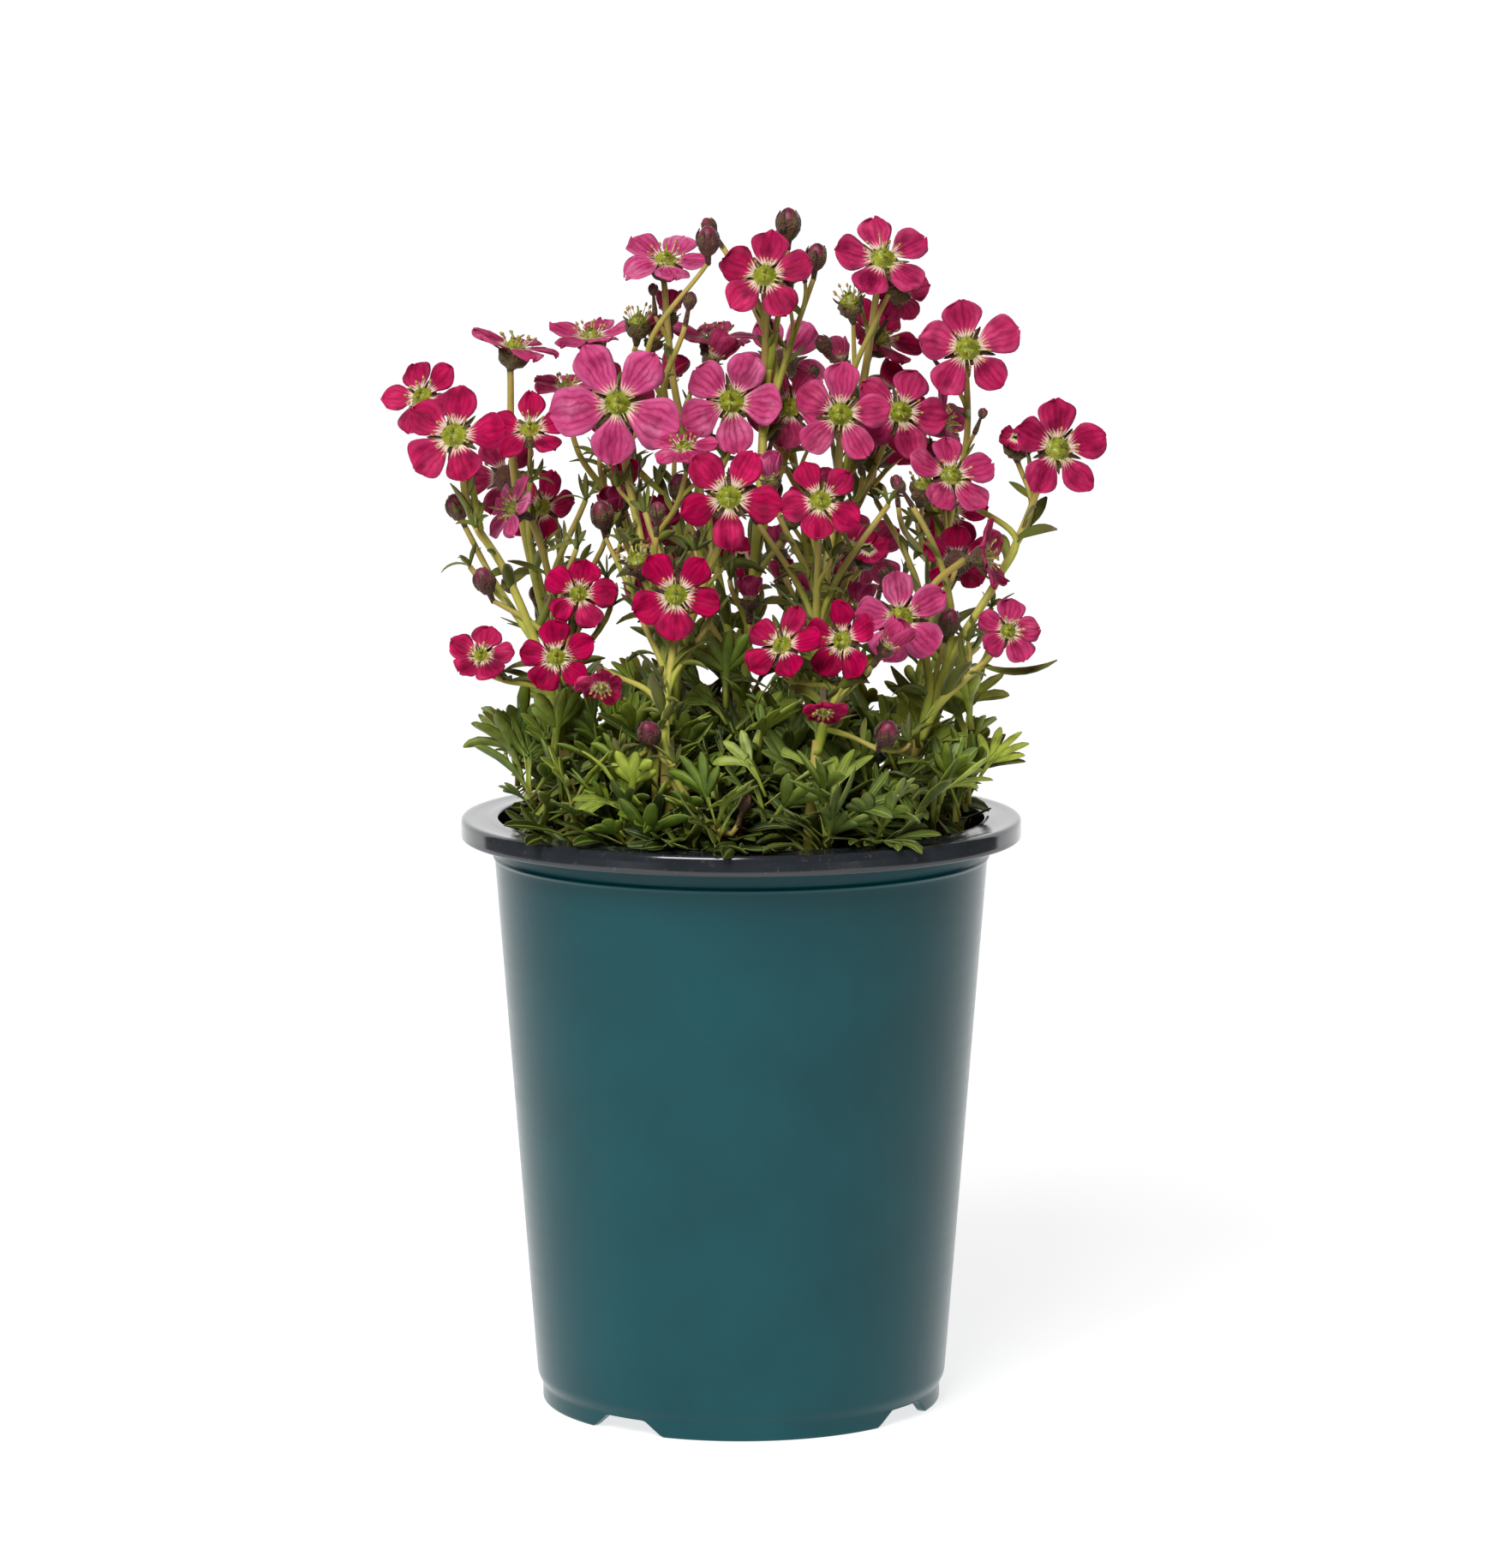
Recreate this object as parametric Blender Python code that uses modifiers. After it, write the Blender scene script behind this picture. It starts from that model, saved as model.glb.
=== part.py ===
"""Potted saxifrage: a mossy saxifrage in bloom in a round nursery pot.

Metres, +Z up, the front of the plant towards -Y. The origin is the centre of
the pot's base. Angles are in degrees.
"""

import math
from collections import namedtuple

import bmesh
import bpy
import numpy as np
from mathutils.bvhtree import BVHTree

MM = 0.001

# Pot: a thin plastic cone on a notched foot ring, with a turned-down rim.
SEGMENTS = 36
PLASTIC = 1.4 * MM
RIM_RADIUS = 60.0 * MM
RIM_TOP = 127.0 * MM
LIP_HEIGHT = 4.4 * MM
RIM_CHAMFER = 0.5 * MM
WALL_TOP_RADIUS = 53.5 * MM
WALL_FOOT_RADIUS = 44.1 * MM
WALL_FOOT = 5.7 * MM
FOOT_RADIUS = 43.0 * MM
FOOT_WIDTH = 2.0 * MM
FOOT_SLOPE_FOOT = 3.6 * MM
FLOOR_UNDERSIDE = 3.9 * MM
BEAD_HEIGHT = 118.6 * MM
BEAD_WIDTH = 1.2 * MM
BEAD_DEPTH = 0.5 * MM
NOTCHES = 4
NOTCH_TURN = 55.0
NOTCH_HEIGHT = 3.2 * MM
NOTCH_WIDTH_TOP = 9.8 * MM
NOTCH_WIDTH_FOOT = 18.0 * MM
DRAIN_RADIUS = 3.5 * MM
DRAIN_CIRCLE = 29.0 * MM

# Soil, with a plain hole for each rooted shoot.
GAP = 0.3 * MM
SOIL_TOP = 118.0 * MM
SOIL_DOME = 1.5 * MM
HOLE_RADIUS = 3.1 * MM
HOLE_DEPTH = 12.0 * MM
HOLE_SIDES = 6

# Leafy shoots, in rings: how many, how far out, and the first one's angle.
SHOOT_RINGS = ((1, 0.0, 0.0), (4, 18.0 * MM, 45.0), (8, 36.0 * MM, 22.5))
SHOOT_HEIGHT = 27.0 * MM
SHOOT_LEAN = 0.14
ROOT_RADIUS = 2.2 * MM
SHOOT_RADIUS = 1.7 * MM
SHOOT_TIP_RADIUS = 1.1 * MM

# Leaves: a flat stalk that widens into a palm with three fingers.
LEAVES = 6
LEAF_LENGTH = 23.0 * MM
LEAF_PALM_WIDTH = 4.4 * MM
LEAF_FORK_WIDTH = 4.0 * MM
LEAF_SPREAD = 8.0 * MM
LEAF_STALK = 0.40
LEAF_FINGER = 0.38
LEAF_THICKNESS = 0.7 * MM
LEAF_DROOP = 0.22
LEAF_STALK_FACES = 2
GOLDEN_ANGLE = 137.5
LEAF_CLEAR = 1.0 * MM
OWN_CLEAR = 0.6 * MM
LEAF_TRIES = ((0, 1.0), (16, 1.0), (-16, 1.0), (32, 0.9), (-32, 0.9), (0, 0.75), (50, 0.75), (-50, 0.75))
SEED = 11

# Stems, and the linear leaf that many of them carry.
STEM_SIDES = 5
STEM_RADIUS = 1.0 * MM
BRANCH_RADIUS = 0.7 * MM
STEM_POINTS = 5
BRACT_EVERY = 3
STEM_RISE = 0.40
NECK_BEND = 0.14
NECK_DROP = 0.20
BRANCH_DROP = 0.42
BRANCH_RANGE = (0.2, 0.68)
BRANCH_POINTS = 4
BUD_STALK_POINTS = 3
BRACT_LENGTH = 13.0 * MM
BRACT_WIDTH = 2.2 * MM

# Flower, along its axis: stem end, sepals, then petals round the ovary.
STEM_END = -5.0 * MM
CUP_RADIUS = 1.5 * MM
SEPAL_FACE = -0.35 * MM
SEPAL_TIP = 4.6 * MM
SEPAL_ROOT = 1.9 * MM
OVARY_RADIUS = 1.6 * MM
OVARY_TIP = 3.2 * MM
HOLE_RING = 2.15 * MM
HUB_RING = 2.7 * MM
PETALS = 5
PETAL_THICKNESS = 0.65 * MM
PETAL_WIDEST = 0.63
PETAL_HALF_WIDTH = 0.40
PETAL_TIP_HALF_WIDTH = 0.19

# Room kept while blooms and stems are settled.
BLOOM_ROOM = 2.3 * MM
STEM_ROOM = 3.3 * MM
PETAL_ROOM = 3.0 * MM
SETTLE_ROUNDS = 90
STALK_CLOUD = (-3 * MM, -6 * MM, -9 * MM)
SETTLE_STEP = 0.3 * MM
SETTLED = 0.02 * MM
DENSITY = 4

# Heads in the order in which they are settled. An open bloom has a cup from 0
# (flat) to 1 (steep); a bud or spent head has none. A head with a host
# branches off the host's stem. Places and radii are in millimetres; turn 0
# faces the front, lift is how far the face looks up, and roll turns the petals.
Head = namedtuple("Head", "name shoot host x y z radius turn lift roll cup pink")
HEADS = (
    Head("left_outer", 9, "", -60, -20, 210, 11.6, -15, 15, 11, 0.15, 0.10),
    Head("left_outer_back", 9, "left_outer", -67.5, -4, 217, 9.1, -25, 30, 40, 0.2, 0.12),
    Head("left_cup", 8, "", -48.5, 12, 226.5, 10.4, 60, 78, 0, 0.6, 0.45),
    Head("left_inner", 8, "left_cup", -45, 2, 209.5, 9.1, 0, 45, 0, 0.2, 0.05),
    Head("left_top_cup", 2, "", -32.5, 22, 228, 9.6, -10, 76, 0, 0.55, 0.60),
    Head("left_low_cup", 2, "left_top_cup", -37.5, 18, 217.5, 8.3, 10, 75, 20, 0.5, 0.60),
    Head("large_pale", 3, "", -26, -12, 216, 14.0, 0, 5, 41, 0.12, 1.00),
    Head("top_left_cup", 0, "", -16, 0, 245.5, 10.4, 10, 60, 30, 0.4, 0.90),
    Head("top_centre", 0, "", 5, -4, 242.5, 10.5, -5, 20, 5, 0.15, 0.10),
    Head("top_right", 1, "", 30, -2, 246, 11.2, 10, 38, -11, 0.2, 0.25),
    Head("top_nodding", 1, "top_right", 34, 5, 238, 6.5, 150, -10, 0, 0.3, 0.30),
    Head("back_cup", 7, "", -5.5, 24, 227.5, 10.7, 0, 80, 0, 0.5, 0.50),
    Head("centre_pale", 0, "top_left_cup", -2, 2, 215.5, 11.3, -8, 10, 26, 0.15, 0.85),
    Head("centre_back", 0, "top_centre", 10.5, 12, 213.5, 9.5, -10, 15, 33, 0.15, 0.45),
    Head("centre_right", 4, "", 21, -8, 213.5, 10.8, -2, 10, 9, 0.15, 0.50),
    Head("right_inner", 1, "top_right", 34, 6, 213, 10.6, 12, 12, 20, 0.15, 0.30),
    Head("right_side", 1, "top_right", 30, 9, 228, 10.0, 50, 45, -20, 0.3, 0.10),
    Head("right_top", 5, "", 48, -2, 227, 11.2, 5, 8, -6, 0.15, 0.25),
    Head("right_edge_on", 5, "right_top", 44, 21, 210, 8.3, 75, 20, 10, 0.35, 0.65),
    Head("right_outer", 12, "", 67, -6, 206, 11.2, 20, 15, 5, 0.15, 0.15),
    Head("right_mid", 12, "right_outer", 44.5, -6, 200.5, 9.8, 20, 30, 5, 0.2, 0.50),
    Head("right_low_side", 12, "", 52, -13, 184, 7.6, 75, 10, 0, 0.35, 0.30),
    Head("right_low_back", 12, "right_low_side", 46, -3, 182, 8.2, 175, 15, 0, 0.3, 0.05),
    Head("right_low_pale", 11, "", 33.5, -26, 172, 10.7, 5, 8, -11, 0.12, 0.90),
    Head("right_low_cup", 12, "", 56, -22, 169, 7.2, 15, 20, 15, 0.45, 0.40),
    Head("front_right", 11, "", 21, -36, 168.5, 8.9, -30, 10, -5, 0.2, 0.00),
    Head("front_right_inner", 11, "front_right", 8.5, -39, 168, 8.9, -25, 30, 10, 0.2, 0.00),
    Head("front_hanging", 11, "front_right", 17, -40, 155, 4.8, 0, -50, 0, 0.3, 0.10),
    Head("front_centre", 10, "", -13.5, -34, 178, 10.1, -5, 5, 35, 0.12, 0.00),
    Head("front_left_hanging", 10, "front_centre", -29, -36, 159.5, 5.7, 5, -45, 0, 0.3, 0.15),
    Head("front_left", 9, "", -34, -24, 177, 7.9, 5, 18, 14, 0.3, 0.05),
    Head("front_left_low", 9, "front_left", -38.5, -33, 164.5, 8.2, 0, 15, -7, 0.15, 0.00),
    Head("front_left_outer", 9, "front_left", -54.5, -23, 164, 6.8, -5, 35, 10, 0.3, 0.10),
    Head("mid_bright", 3, "", -2.5, -32, 198, 11.0, 0, 6, 33, 0.12, 0.05),
    Head("mid_left_cup", 3, "large_pale", -12, -18, 207.5, 7.5, -20, 65, 0, 0.4, 0.50),
    Head("mid_right", 4, "", 16.5, -32, 197.5, 9.4, 2, 18, 45, 0.15, 0.10),
    Head("left_spent_pale", 8, "", -48.5, -8, 193.5, 7.6, -60, 25, 0, 0.4, 0.90),
    Head("left_behind", 8, "", -43, 24, 191, 8.5, -30, 20, 10, 0.2, 0.10),
    Head("right_behind", 5, "", 45, 26, 190, 9.0, 20, 20, 20, 0.2, 0.10),
    Head("rear_left", 7, "back_cup", -28, 44, 212, 10.5, 165, 25, 10, 0.15, 0.20),
    Head("rear_centre", 6, "", 9, 48, 221, 11.0, 185, 20, 30, 0.15, 0.80),
    Head("rear_right", 6, "rear_centre", 38, 38, 206, 10.5, 150, 25, 0, 0.2, 0.15),
    Head("rear_far_left", 8, "", -52, 33, 197, 10.0, 215, 20, 25, 0.15, 0.30),
    Head("rear_low_left", 7, "", -9, 50, 181, 10.0, 190, 15, 0, 0.15, 0.00),
    Head("rear_low_right", 6, "", 27, 50, 178, 9.5, 170, 20, 15, 0.2, 0.60),
    Head("bud_top", 0, "top_centre", 10, 3, 253, 2.6, 0, 80, 0, None, 0.4),
    Head("bud_top_low", 0, "top_centre", 16, 6, 246, 2.2, 20, 70, 0, None, 0.0),
    Head("bud_top_left", 0, "top_left_cup", -7, -6, 250, 2.4, 0, 70, 0, None, 0.2),
    Head("spent_left", 2, "left_top_cup", -22, 13, 232, 2.8, 20, 75, 0, None, 0.5),
    Head("spent_top_right", 1, "top_right", 23, 8, 237, 2.8, -30, 70, 0, None, 0.9),
    Head("half_open_right", 12, "right_outer", 59, 4, 207, 3.6, 0, 60, 0, None, 0.2),
    Head("bud_left", 9, "left_outer", -60, -10, 194, 2.3, -40, 60, 0, None, 0.2),
    Head("bud_left_low", 9, "front_left", -54, -16, 179, 2.3, -40, 60, 0, None, 0.2),
    Head("bud_inner_left", 3, "large_pale", -29.5, -6, 192, 2.4, -20, 70, 0, None, 0.0),
    Head("spent_inner_left", 3, "mid_bright", -22, -20, 184, 2.6, -30, 60, 0, None, 0.3),
    Head("bud_middle", 0, "top_left_cup", -13, 5, 197, 2.4, -30, 70, 0, None, 0.1),
    Head("bud_front_left", 10, "front_centre", -19, -43, 150, 2.4, -20, 50, 0, None, 0.7),
    Head("bud_front_right", 11, "front_right", 30, -42, 150, 2.4, 30, 50, 0, None, 0.1),
    Head("spent_right", 5, "right_behind", 39, 4, 198, 2.6, 10, 60, 0, None, 0.1),
    Head("bud_right_low", 12, "right_low_side", 44, -14, 170, 2.3, 20, 60, 0, None, 0.2),
    Head("closed_right_back", 1, "right_inner", 31, 20, 203, 4.0, 30, 50, 0, None, 0.1),
    Head("closed_right_low", 1, "top_right", 27, 8, 183, 4.2, 20, 50, 0, None, 0.1),
    Head("closed_left", 2, "left_top_cup", -18, 8, 190, 4.2, 0, 50, 0, None, 0.2),
    Head("closed_centre", 0, "top_centre", 0, 9, 181, 4.2, -10, 40, 0, None, 0.0),
)

# Faces of a union that meet flatter than this are merged.
SEAM_ANGLE = 0.5

MATERIALS = {
    "pot": ((0.012, 0.092, 0.105), 0.28),
    "soil": ((0.020, 0.013, 0.008), 0.95),
    "shoot": ((0.140, 0.230, 0.030), 0.50),
    "bloom_magenta": ((0.480, 0.004, 0.085), 0.50),
    "bloom_pink": ((0.620, 0.120, 0.260), 0.50),
}


def material(name):
    """The Principled material of that name, made once."""
    made = bpy.data.materials.get(name)
    if made is None:
        colour, roughness = MATERIALS[name]
        made = bpy.data.materials.new(name)
        made.use_nodes = True
        shader = made.node_tree.nodes["Principled BSDF"]
        shader.inputs["Base Color"].default_value = (*colour, 1.0)
        shader.inputs["Roughness"].default_value = roughness
        shader.inputs["Metallic"].default_value = 0.0
    return made


def new_collection(name):
    """A collection linked to the scene."""
    made = bpy.data.collections.new(name)
    bpy.context.scene.collection.children.link(made)
    return made


def add_object(name, points, faces, collection, edges=()):
    """An object with a mesh made from points and faces."""
    mesh = bpy.data.meshes.new(name)
    mesh.from_pydata([tuple(point) for point in points], edges, faces)
    made = bpy.data.objects.new(name, mesh)
    collection.objects.link(made)
    return made


def close_outward(thing):
    """Turns the faces of a closed mesh so that they point out."""
    work = bmesh.new()
    work.from_mesh(thing.data)
    bmesh.ops.recalc_face_normals(work, faces=work.faces)
    work.to_mesh(thing.data)
    work.free()


def boolean(thing, operation, collection):
    """Cuts or joins the solids of a collection."""
    change = thing.modifiers.new(operation.lower(), "BOOLEAN")
    change.operation = operation
    change.operand_type = "COLLECTION"
    change.collection = collection
    change.solver = "EXACT"
    return change


def turned(name, profile, collection):
    """A profile of (radius, height) points turned round the Z axis."""
    points = [(radius, 0.0, height) for radius, height in profile]
    edges = [(index, index + 1) for index in range(len(points) - 1)]
    made = add_object(name, points, [], collection, edges)
    screw = made.modifiers.new("turn", "SCREW")
    screw.steps = SEGMENTS
    screw.render_steps = SEGMENTS
    screw.use_merge_vertices = True
    screw.merge_threshold = 0.01 * MM
    return made


def cutter(name, collection, sides, radius, depth, place):
    """An upright cylinder that cuts, centred on a place."""
    work = bmesh.new()
    bmesh.ops.create_cone(work, cap_ends=True, segments=sides, radius1=radius, radius2=radius, depth=depth)
    mesh = bpy.data.meshes.new(name)
    work.to_mesh(mesh)
    work.free()
    made = bpy.data.objects.new(name, mesh)
    made.location = place
    made.hide_render = True
    made.display_type = "WIRE"
    collection.objects.link(made)
    return made


def on_circle(radius, angle, height):
    """A point at an angle from +X round the Z axis."""
    turn = math.radians(angle)
    return np.array((radius * math.cos(turn), radius * math.sin(turn), height))


def wall_radius(height):
    """Outer radius of the pot's sloping wall."""
    share = (height - WALL_FOOT) / (RIM_TOP - WALL_FOOT)
    return WALL_FOOT_RADIUS + share * (WALL_TOP_RADIUS - WALL_FOOT_RADIUS)


def make_pot(collection):
    """The pot: floor, wall, rim and foot in one turned profile, cut by notches and drains."""
    floor_top = FLOOR_UNDERSIDE + PLASTIC
    lip_foot = RIM_TOP - LIP_HEIGHT
    bead_top = BEAD_HEIGHT + BEAD_WIDTH / 2
    bead_foot = BEAD_HEIGHT - BEAD_WIDTH / 2
    foot_inside = FOOT_RADIUS - FOOT_WIDTH
    profile = [
        (0.0, floor_top),
        (wall_radius(floor_top) - PLASTIC, floor_top),
        (WALL_TOP_RADIUS - PLASTIC, RIM_TOP),
        (RIM_RADIUS - RIM_CHAMFER, RIM_TOP),
        (RIM_RADIUS, RIM_TOP - RIM_CHAMFER),
        (RIM_RADIUS, lip_foot),
        (RIM_RADIUS - PLASTIC, lip_foot),
        (RIM_RADIUS - PLASTIC, RIM_TOP - PLASTIC),
        (wall_radius(RIM_TOP - PLASTIC), RIM_TOP - PLASTIC),
        (wall_radius(bead_top), bead_top),
        (wall_radius(BEAD_HEIGHT) + BEAD_DEPTH, BEAD_HEIGHT),
        (wall_radius(bead_foot), bead_foot),
        (WALL_FOOT_RADIUS, WALL_FOOT),
        (FOOT_RADIUS, FOOT_SLOPE_FOOT),
        (FOOT_RADIUS, 0.0),
        (foot_inside, 0.0),
        (foot_inside, FLOOR_UNDERSIDE),
        (0.0, FLOOR_UNDERSIDE),
    ]
    pot = turned("pot", profile, collection)
    cutters = new_collection("pot_cutters")
    for index in range(NOTCHES):
        notch_cutter(index, cutters)
        drain = on_circle(DRAIN_CIRCLE, NOTCH_TURN + 360 * (index + 0.5) / NOTCHES - 90, floor_top)
        cutter(f"drain_{index}", cutters, 12, DRAIN_RADIUS, 8 * MM, drain)
    boolean(pot, "DIFFERENCE", cutters)
    pot.data.materials.append(material("pot"))
    return pot


def notch_cutter(index, collection):
    """A wedge through the foot ring, wider at the bottom. Its turn is from the front."""
    work = bmesh.new()
    bmesh.ops.create_cube(work, size=1.0)
    below = 1.0 * MM
    widen = (NOTCH_WIDTH_FOOT - NOTCH_WIDTH_TOP) * below / NOTCH_HEIGHT
    for corner in work.verts:
        top = corner.co.z > 0
        width = NOTCH_WIDTH_TOP if top else NOTCH_WIDTH_FOOT + widen
        corner.co.x *= 4 * FOOT_WIDTH
        corner.co.y *= width
        corner.co.z = NOTCH_HEIGHT if top else -below
    mesh = bpy.data.meshes.new(f"notch_{index}")
    work.to_mesh(mesh)
    work.free()
    made = bpy.data.objects.new(mesh.name, mesh)
    angle = NOTCH_TURN + 360 * index / NOTCHES - 90
    made.location = on_circle(FOOT_RADIUS - FOOT_WIDTH / 2, angle, 0.0)
    made.rotation_euler.z = math.radians(angle)
    made.hide_render = True
    made.display_type = "WIRE"
    collection.objects.link(made)


def make_soil(collection, shoots):
    """The soil fills the pot to a little under the rim, with a hole for each shoot."""
    bottom = FLOOR_UNDERSIDE + PLASTIC + GAP
    inset = PLASTIC + GAP
    profile = [
        (0.0, SOIL_TOP + SOIL_DOME),
        (0.7 * wall_radius(SOIL_TOP), SOIL_TOP + SOIL_DOME / 2),
        (wall_radius(SOIL_TOP) - inset, SOIL_TOP - SOIL_DOME / 2),
        (wall_radius(bottom) - inset, bottom),
        (0.0, bottom),
    ]
    soil = turned("soil", profile, collection)
    cutters = new_collection("soil_cutters")
    for index, shoot in enumerate(shoots):
        place = (shoot[0], shoot[1], SOIL_TOP)
        cutter(f"hole_{index}", cutters, HOLE_SIDES, HOLE_RADIUS, 2 * HOLE_DEPTH, place)
    boolean(soil, "DIFFERENCE", cutters)
    soil.data.materials.append(material("soil"))
    return soil


def shoot_places():
    """Where the shoots stand, ring by ring."""
    places = []
    for count, radius, first in SHOOT_RINGS:
        for index in range(count):
            places.append(on_circle(radius, first + 360 * index / count, SOIL_TOP))
    return places


def unit(vector):
    """The vector at length 1."""
    return vector / np.linalg.norm(vector)


def head_frame(head):
    """Right, up and facing directions of a head, as seen from in front of it."""
    turn = math.radians(head.turn)
    lift = math.radians(head.lift)
    out = math.cos(lift)
    facing = np.array((math.sin(turn) * out, -math.cos(turn) * out, math.sin(lift)))
    up = np.array((0.0, 0.0, 1.0)) - facing[2] * facing
    up = unit(up)
    return np.cross(up, facing), up, facing


def from_head(head, centre, angles, radius, height):
    """Points at angles clockwise from up, out from the head's axis and along it."""
    right, up, facing = head_frame(head)
    turn = np.radians(np.asarray(angles, float) + head.roll)[:, None]
    return centre + radius * (np.cos(turn) * up + np.sin(turn) * right) + height * facing


def petal_lift(head, out):
    """How far a petal has risen at a distance from the axis."""
    radius = head.radius * MM
    return head.cup * (out - HUB_RING) ** 2 / (radius - HUB_RING) + 0.1 * head.cup * (out - HUB_RING)


def petal_row(head, centre, index, out, half_width):
    """Points across petal number index, at a distance from the axis."""
    right, up, facing = head_frame(head)
    turn = math.radians(head.roll + 360 * index / PETALS)
    along = math.cos(turn) * up + math.sin(turn) * right
    across = math.cos(turn) * right - math.sin(turn) * up
    offsets = np.array((-half_width, half_width))[:, None]
    return centre + out * along + offsets * across + petal_lift(head, out) * facing


def bloom_sheet(head, centre):
    """Petals as one thin sheet: a ring round the ovary with five lobes."""
    between = (np.arange(PETALS) + 0.5) * 360 / PETALS
    rows = [from_head(head, centre, between, HOLE_RING, 0.0), from_head(head, centre, between, HUB_RING, 0.0)]
    radius = head.radius * MM
    faces = []
    for index in range(PETALS):
        left, right = (index - 1) % PETALS, index
        hub = (PETALS + left, PETALS + right)
        first = 2 * PETALS + 4 * index
        wide, tip = (first, first + 1), (first + 2, first + 3)
        rows.append(petal_row(head, centre, index, PETAL_WIDEST * radius, PETAL_HALF_WIDTH * radius))
        rows.append(petal_row(head, centre, index, radius, PETAL_TIP_HALF_WIDTH * radius))
        for near, far in (((left, right), hub), (hub, wide), (wide, tip)):
            faces.append((near[0], near[1], far[1]))
            faces.append((near[0], far[1], far[0]))
    return np.vstack(rows), faces


def bezier(start, first, second, end, count):
    """Points along a cubic curve."""
    share = np.linspace(0.0, 1.0, count)[:, None]
    back = 1.0 - share
    return back**3 * start + 3 * back**2 * share * first + 3 * back * share**2 * second + share**3 * end


def head_cloud(head, centre):
    """Points over a head's petals, or its bud, and the stalk just behind it."""
    right, up, facing = head_frame(head)
    radius = head.radius * MM
    rows = [centre + np.outer(STALK_CLOUD, facing)]
    if head.cup is None:
        around = np.arange(6) * 60.0
        for share, height in ((0.8, 0.3), (1.0, 1.2), (0.6, 2.2)):
            rows.append(from_head(head, centre, around, share * radius, height * radius))
        return np.vstack(rows)
    for index in range(PETALS):
        for out, half_width in ((0.35, 0.2), (0.65, 0.4), (0.85, 0.3), (1.0, 0.19)):
            rows.append(petal_row(head, centre, index, out * radius, half_width * radius))
            rows.append(petal_row(head, centre, index, out * radius, 0.0)[:1])
    return np.vstack(rows)


def nearest(points, others):
    """For each point: which other point is nearest, and how far off it is."""
    distance = np.linalg.norm(points[:, None, :] - others[None, :, :], axis=2)
    pick = distance.argmin(axis=1)
    return pick, distance[np.arange(len(points)), pick]


def settle_heads():
    """Head centres: heads that would touch slide apart in depth."""
    centres = [np.array((head.x, head.y, head.z)) * MM for head in HEADS]
    clouds = [head_cloud(head, centre) for head, centre in zip(HEADS, centres)]
    pairs = []
    for first in range(len(HEADS)):
        for second in range(first + 1, len(HEADS)):
            reach = (HEADS[first].radius + HEADS[second].radius + 12) * MM
            if np.linalg.norm(centres[first] - centres[second]) < reach:
                pairs.append((first, second))
    for _ in range(SETTLE_ROUNDS):
        moved = False
        for first, second in pairs:
            _, distance = nearest(clouds[first], clouds[second])
            if distance.min() >= BLOOM_ROOM:
                continue
            moved = True
            way = 1.0 if centres[first][1] >= centres[second][1] else -1.0
            for which, sign in ((first, way), (second, -way)):
                step = np.array((0.0, sign * SETTLE_STEP, 0.0))
                centres[which] = centres[which] + step
                clouds[which] = clouds[which] + step
        if not moved:
            break
    return centres, clouds


def spread_weights(count):
    """Weights that read DENSITY times as many points off a path of count points."""
    share = np.linspace(0.0, count - 1.0, DENSITY * count)
    return np.maximum(0.0, 1.0 - abs(share[:, None] - np.arange(count)[None, :]))


def settle_paths(paths, shoots_of, blooms_of, still):
    """Bends paths away from other shoots' stems and from blooms' centres; ends stay."""
    weights = spread_weights(len(paths[0]))
    for _ in range(SETTLE_ROUNDS):
        dense = [weights @ path for path in paths]
        moved = False
        for index, path in enumerate(paths):
            push = np.zeros_like(dense[index])
            stems = [dense[other] for other in range(len(paths)) if shoots_of[other] != shoots_of[index]]
            stems += [line for shoot, line in still if shoot != shoots_of[index]]
            obstacles = [(*blooms_of[index], PETAL_ROOM)]
            if stems:
                obstacles.append((np.vstack(stems), np.vstack(stems), STEM_ROOM))
            for near, pushed_from, room in obstacles:
                pick, distance = nearest(dense[index], near)
                away = dense[index] - pushed_from[pick]
                short = np.maximum(0.0, room - distance) / np.maximum(np.linalg.norm(away, axis=1), SETTLED)
                push += 0.5 * short[:, None] * away
            shift = weights.T @ push
            shift[[0, -1]] = 0.0
            if abs(shift).max() > SETTLED:
                moved = True
            paths[index] = path + shift
        if not moved:
            break
    return paths


def bloom_obstacles(own, centres, clouds):
    """What a head's stem keeps clear of: every head's points, with each point's head centre."""
    points, middles = [], []
    for index, cloud in enumerate(clouds):
        part = cloud[len(STALK_CLOUD):] if index == own else cloud
        points.append(part)
        middles.append(np.repeat(centres[index][None, :], len(part), axis=0))
    return np.vstack(points), np.vstack(middles)


def branch_start(host, end):
    """Where a branch that ends at a height leaves its host's path, and which way it sets off."""
    rise = (end[2] - host[0][2]) / (host[-1][2] - host[0][2])
    place = np.clip(rise - BRANCH_DROP, *BRANCH_RANGE) * (len(host) - 1)
    base = int(place)
    step = host[base + 1] - host[base]
    return host[base] + (place - base) * step, unit(step)


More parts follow.
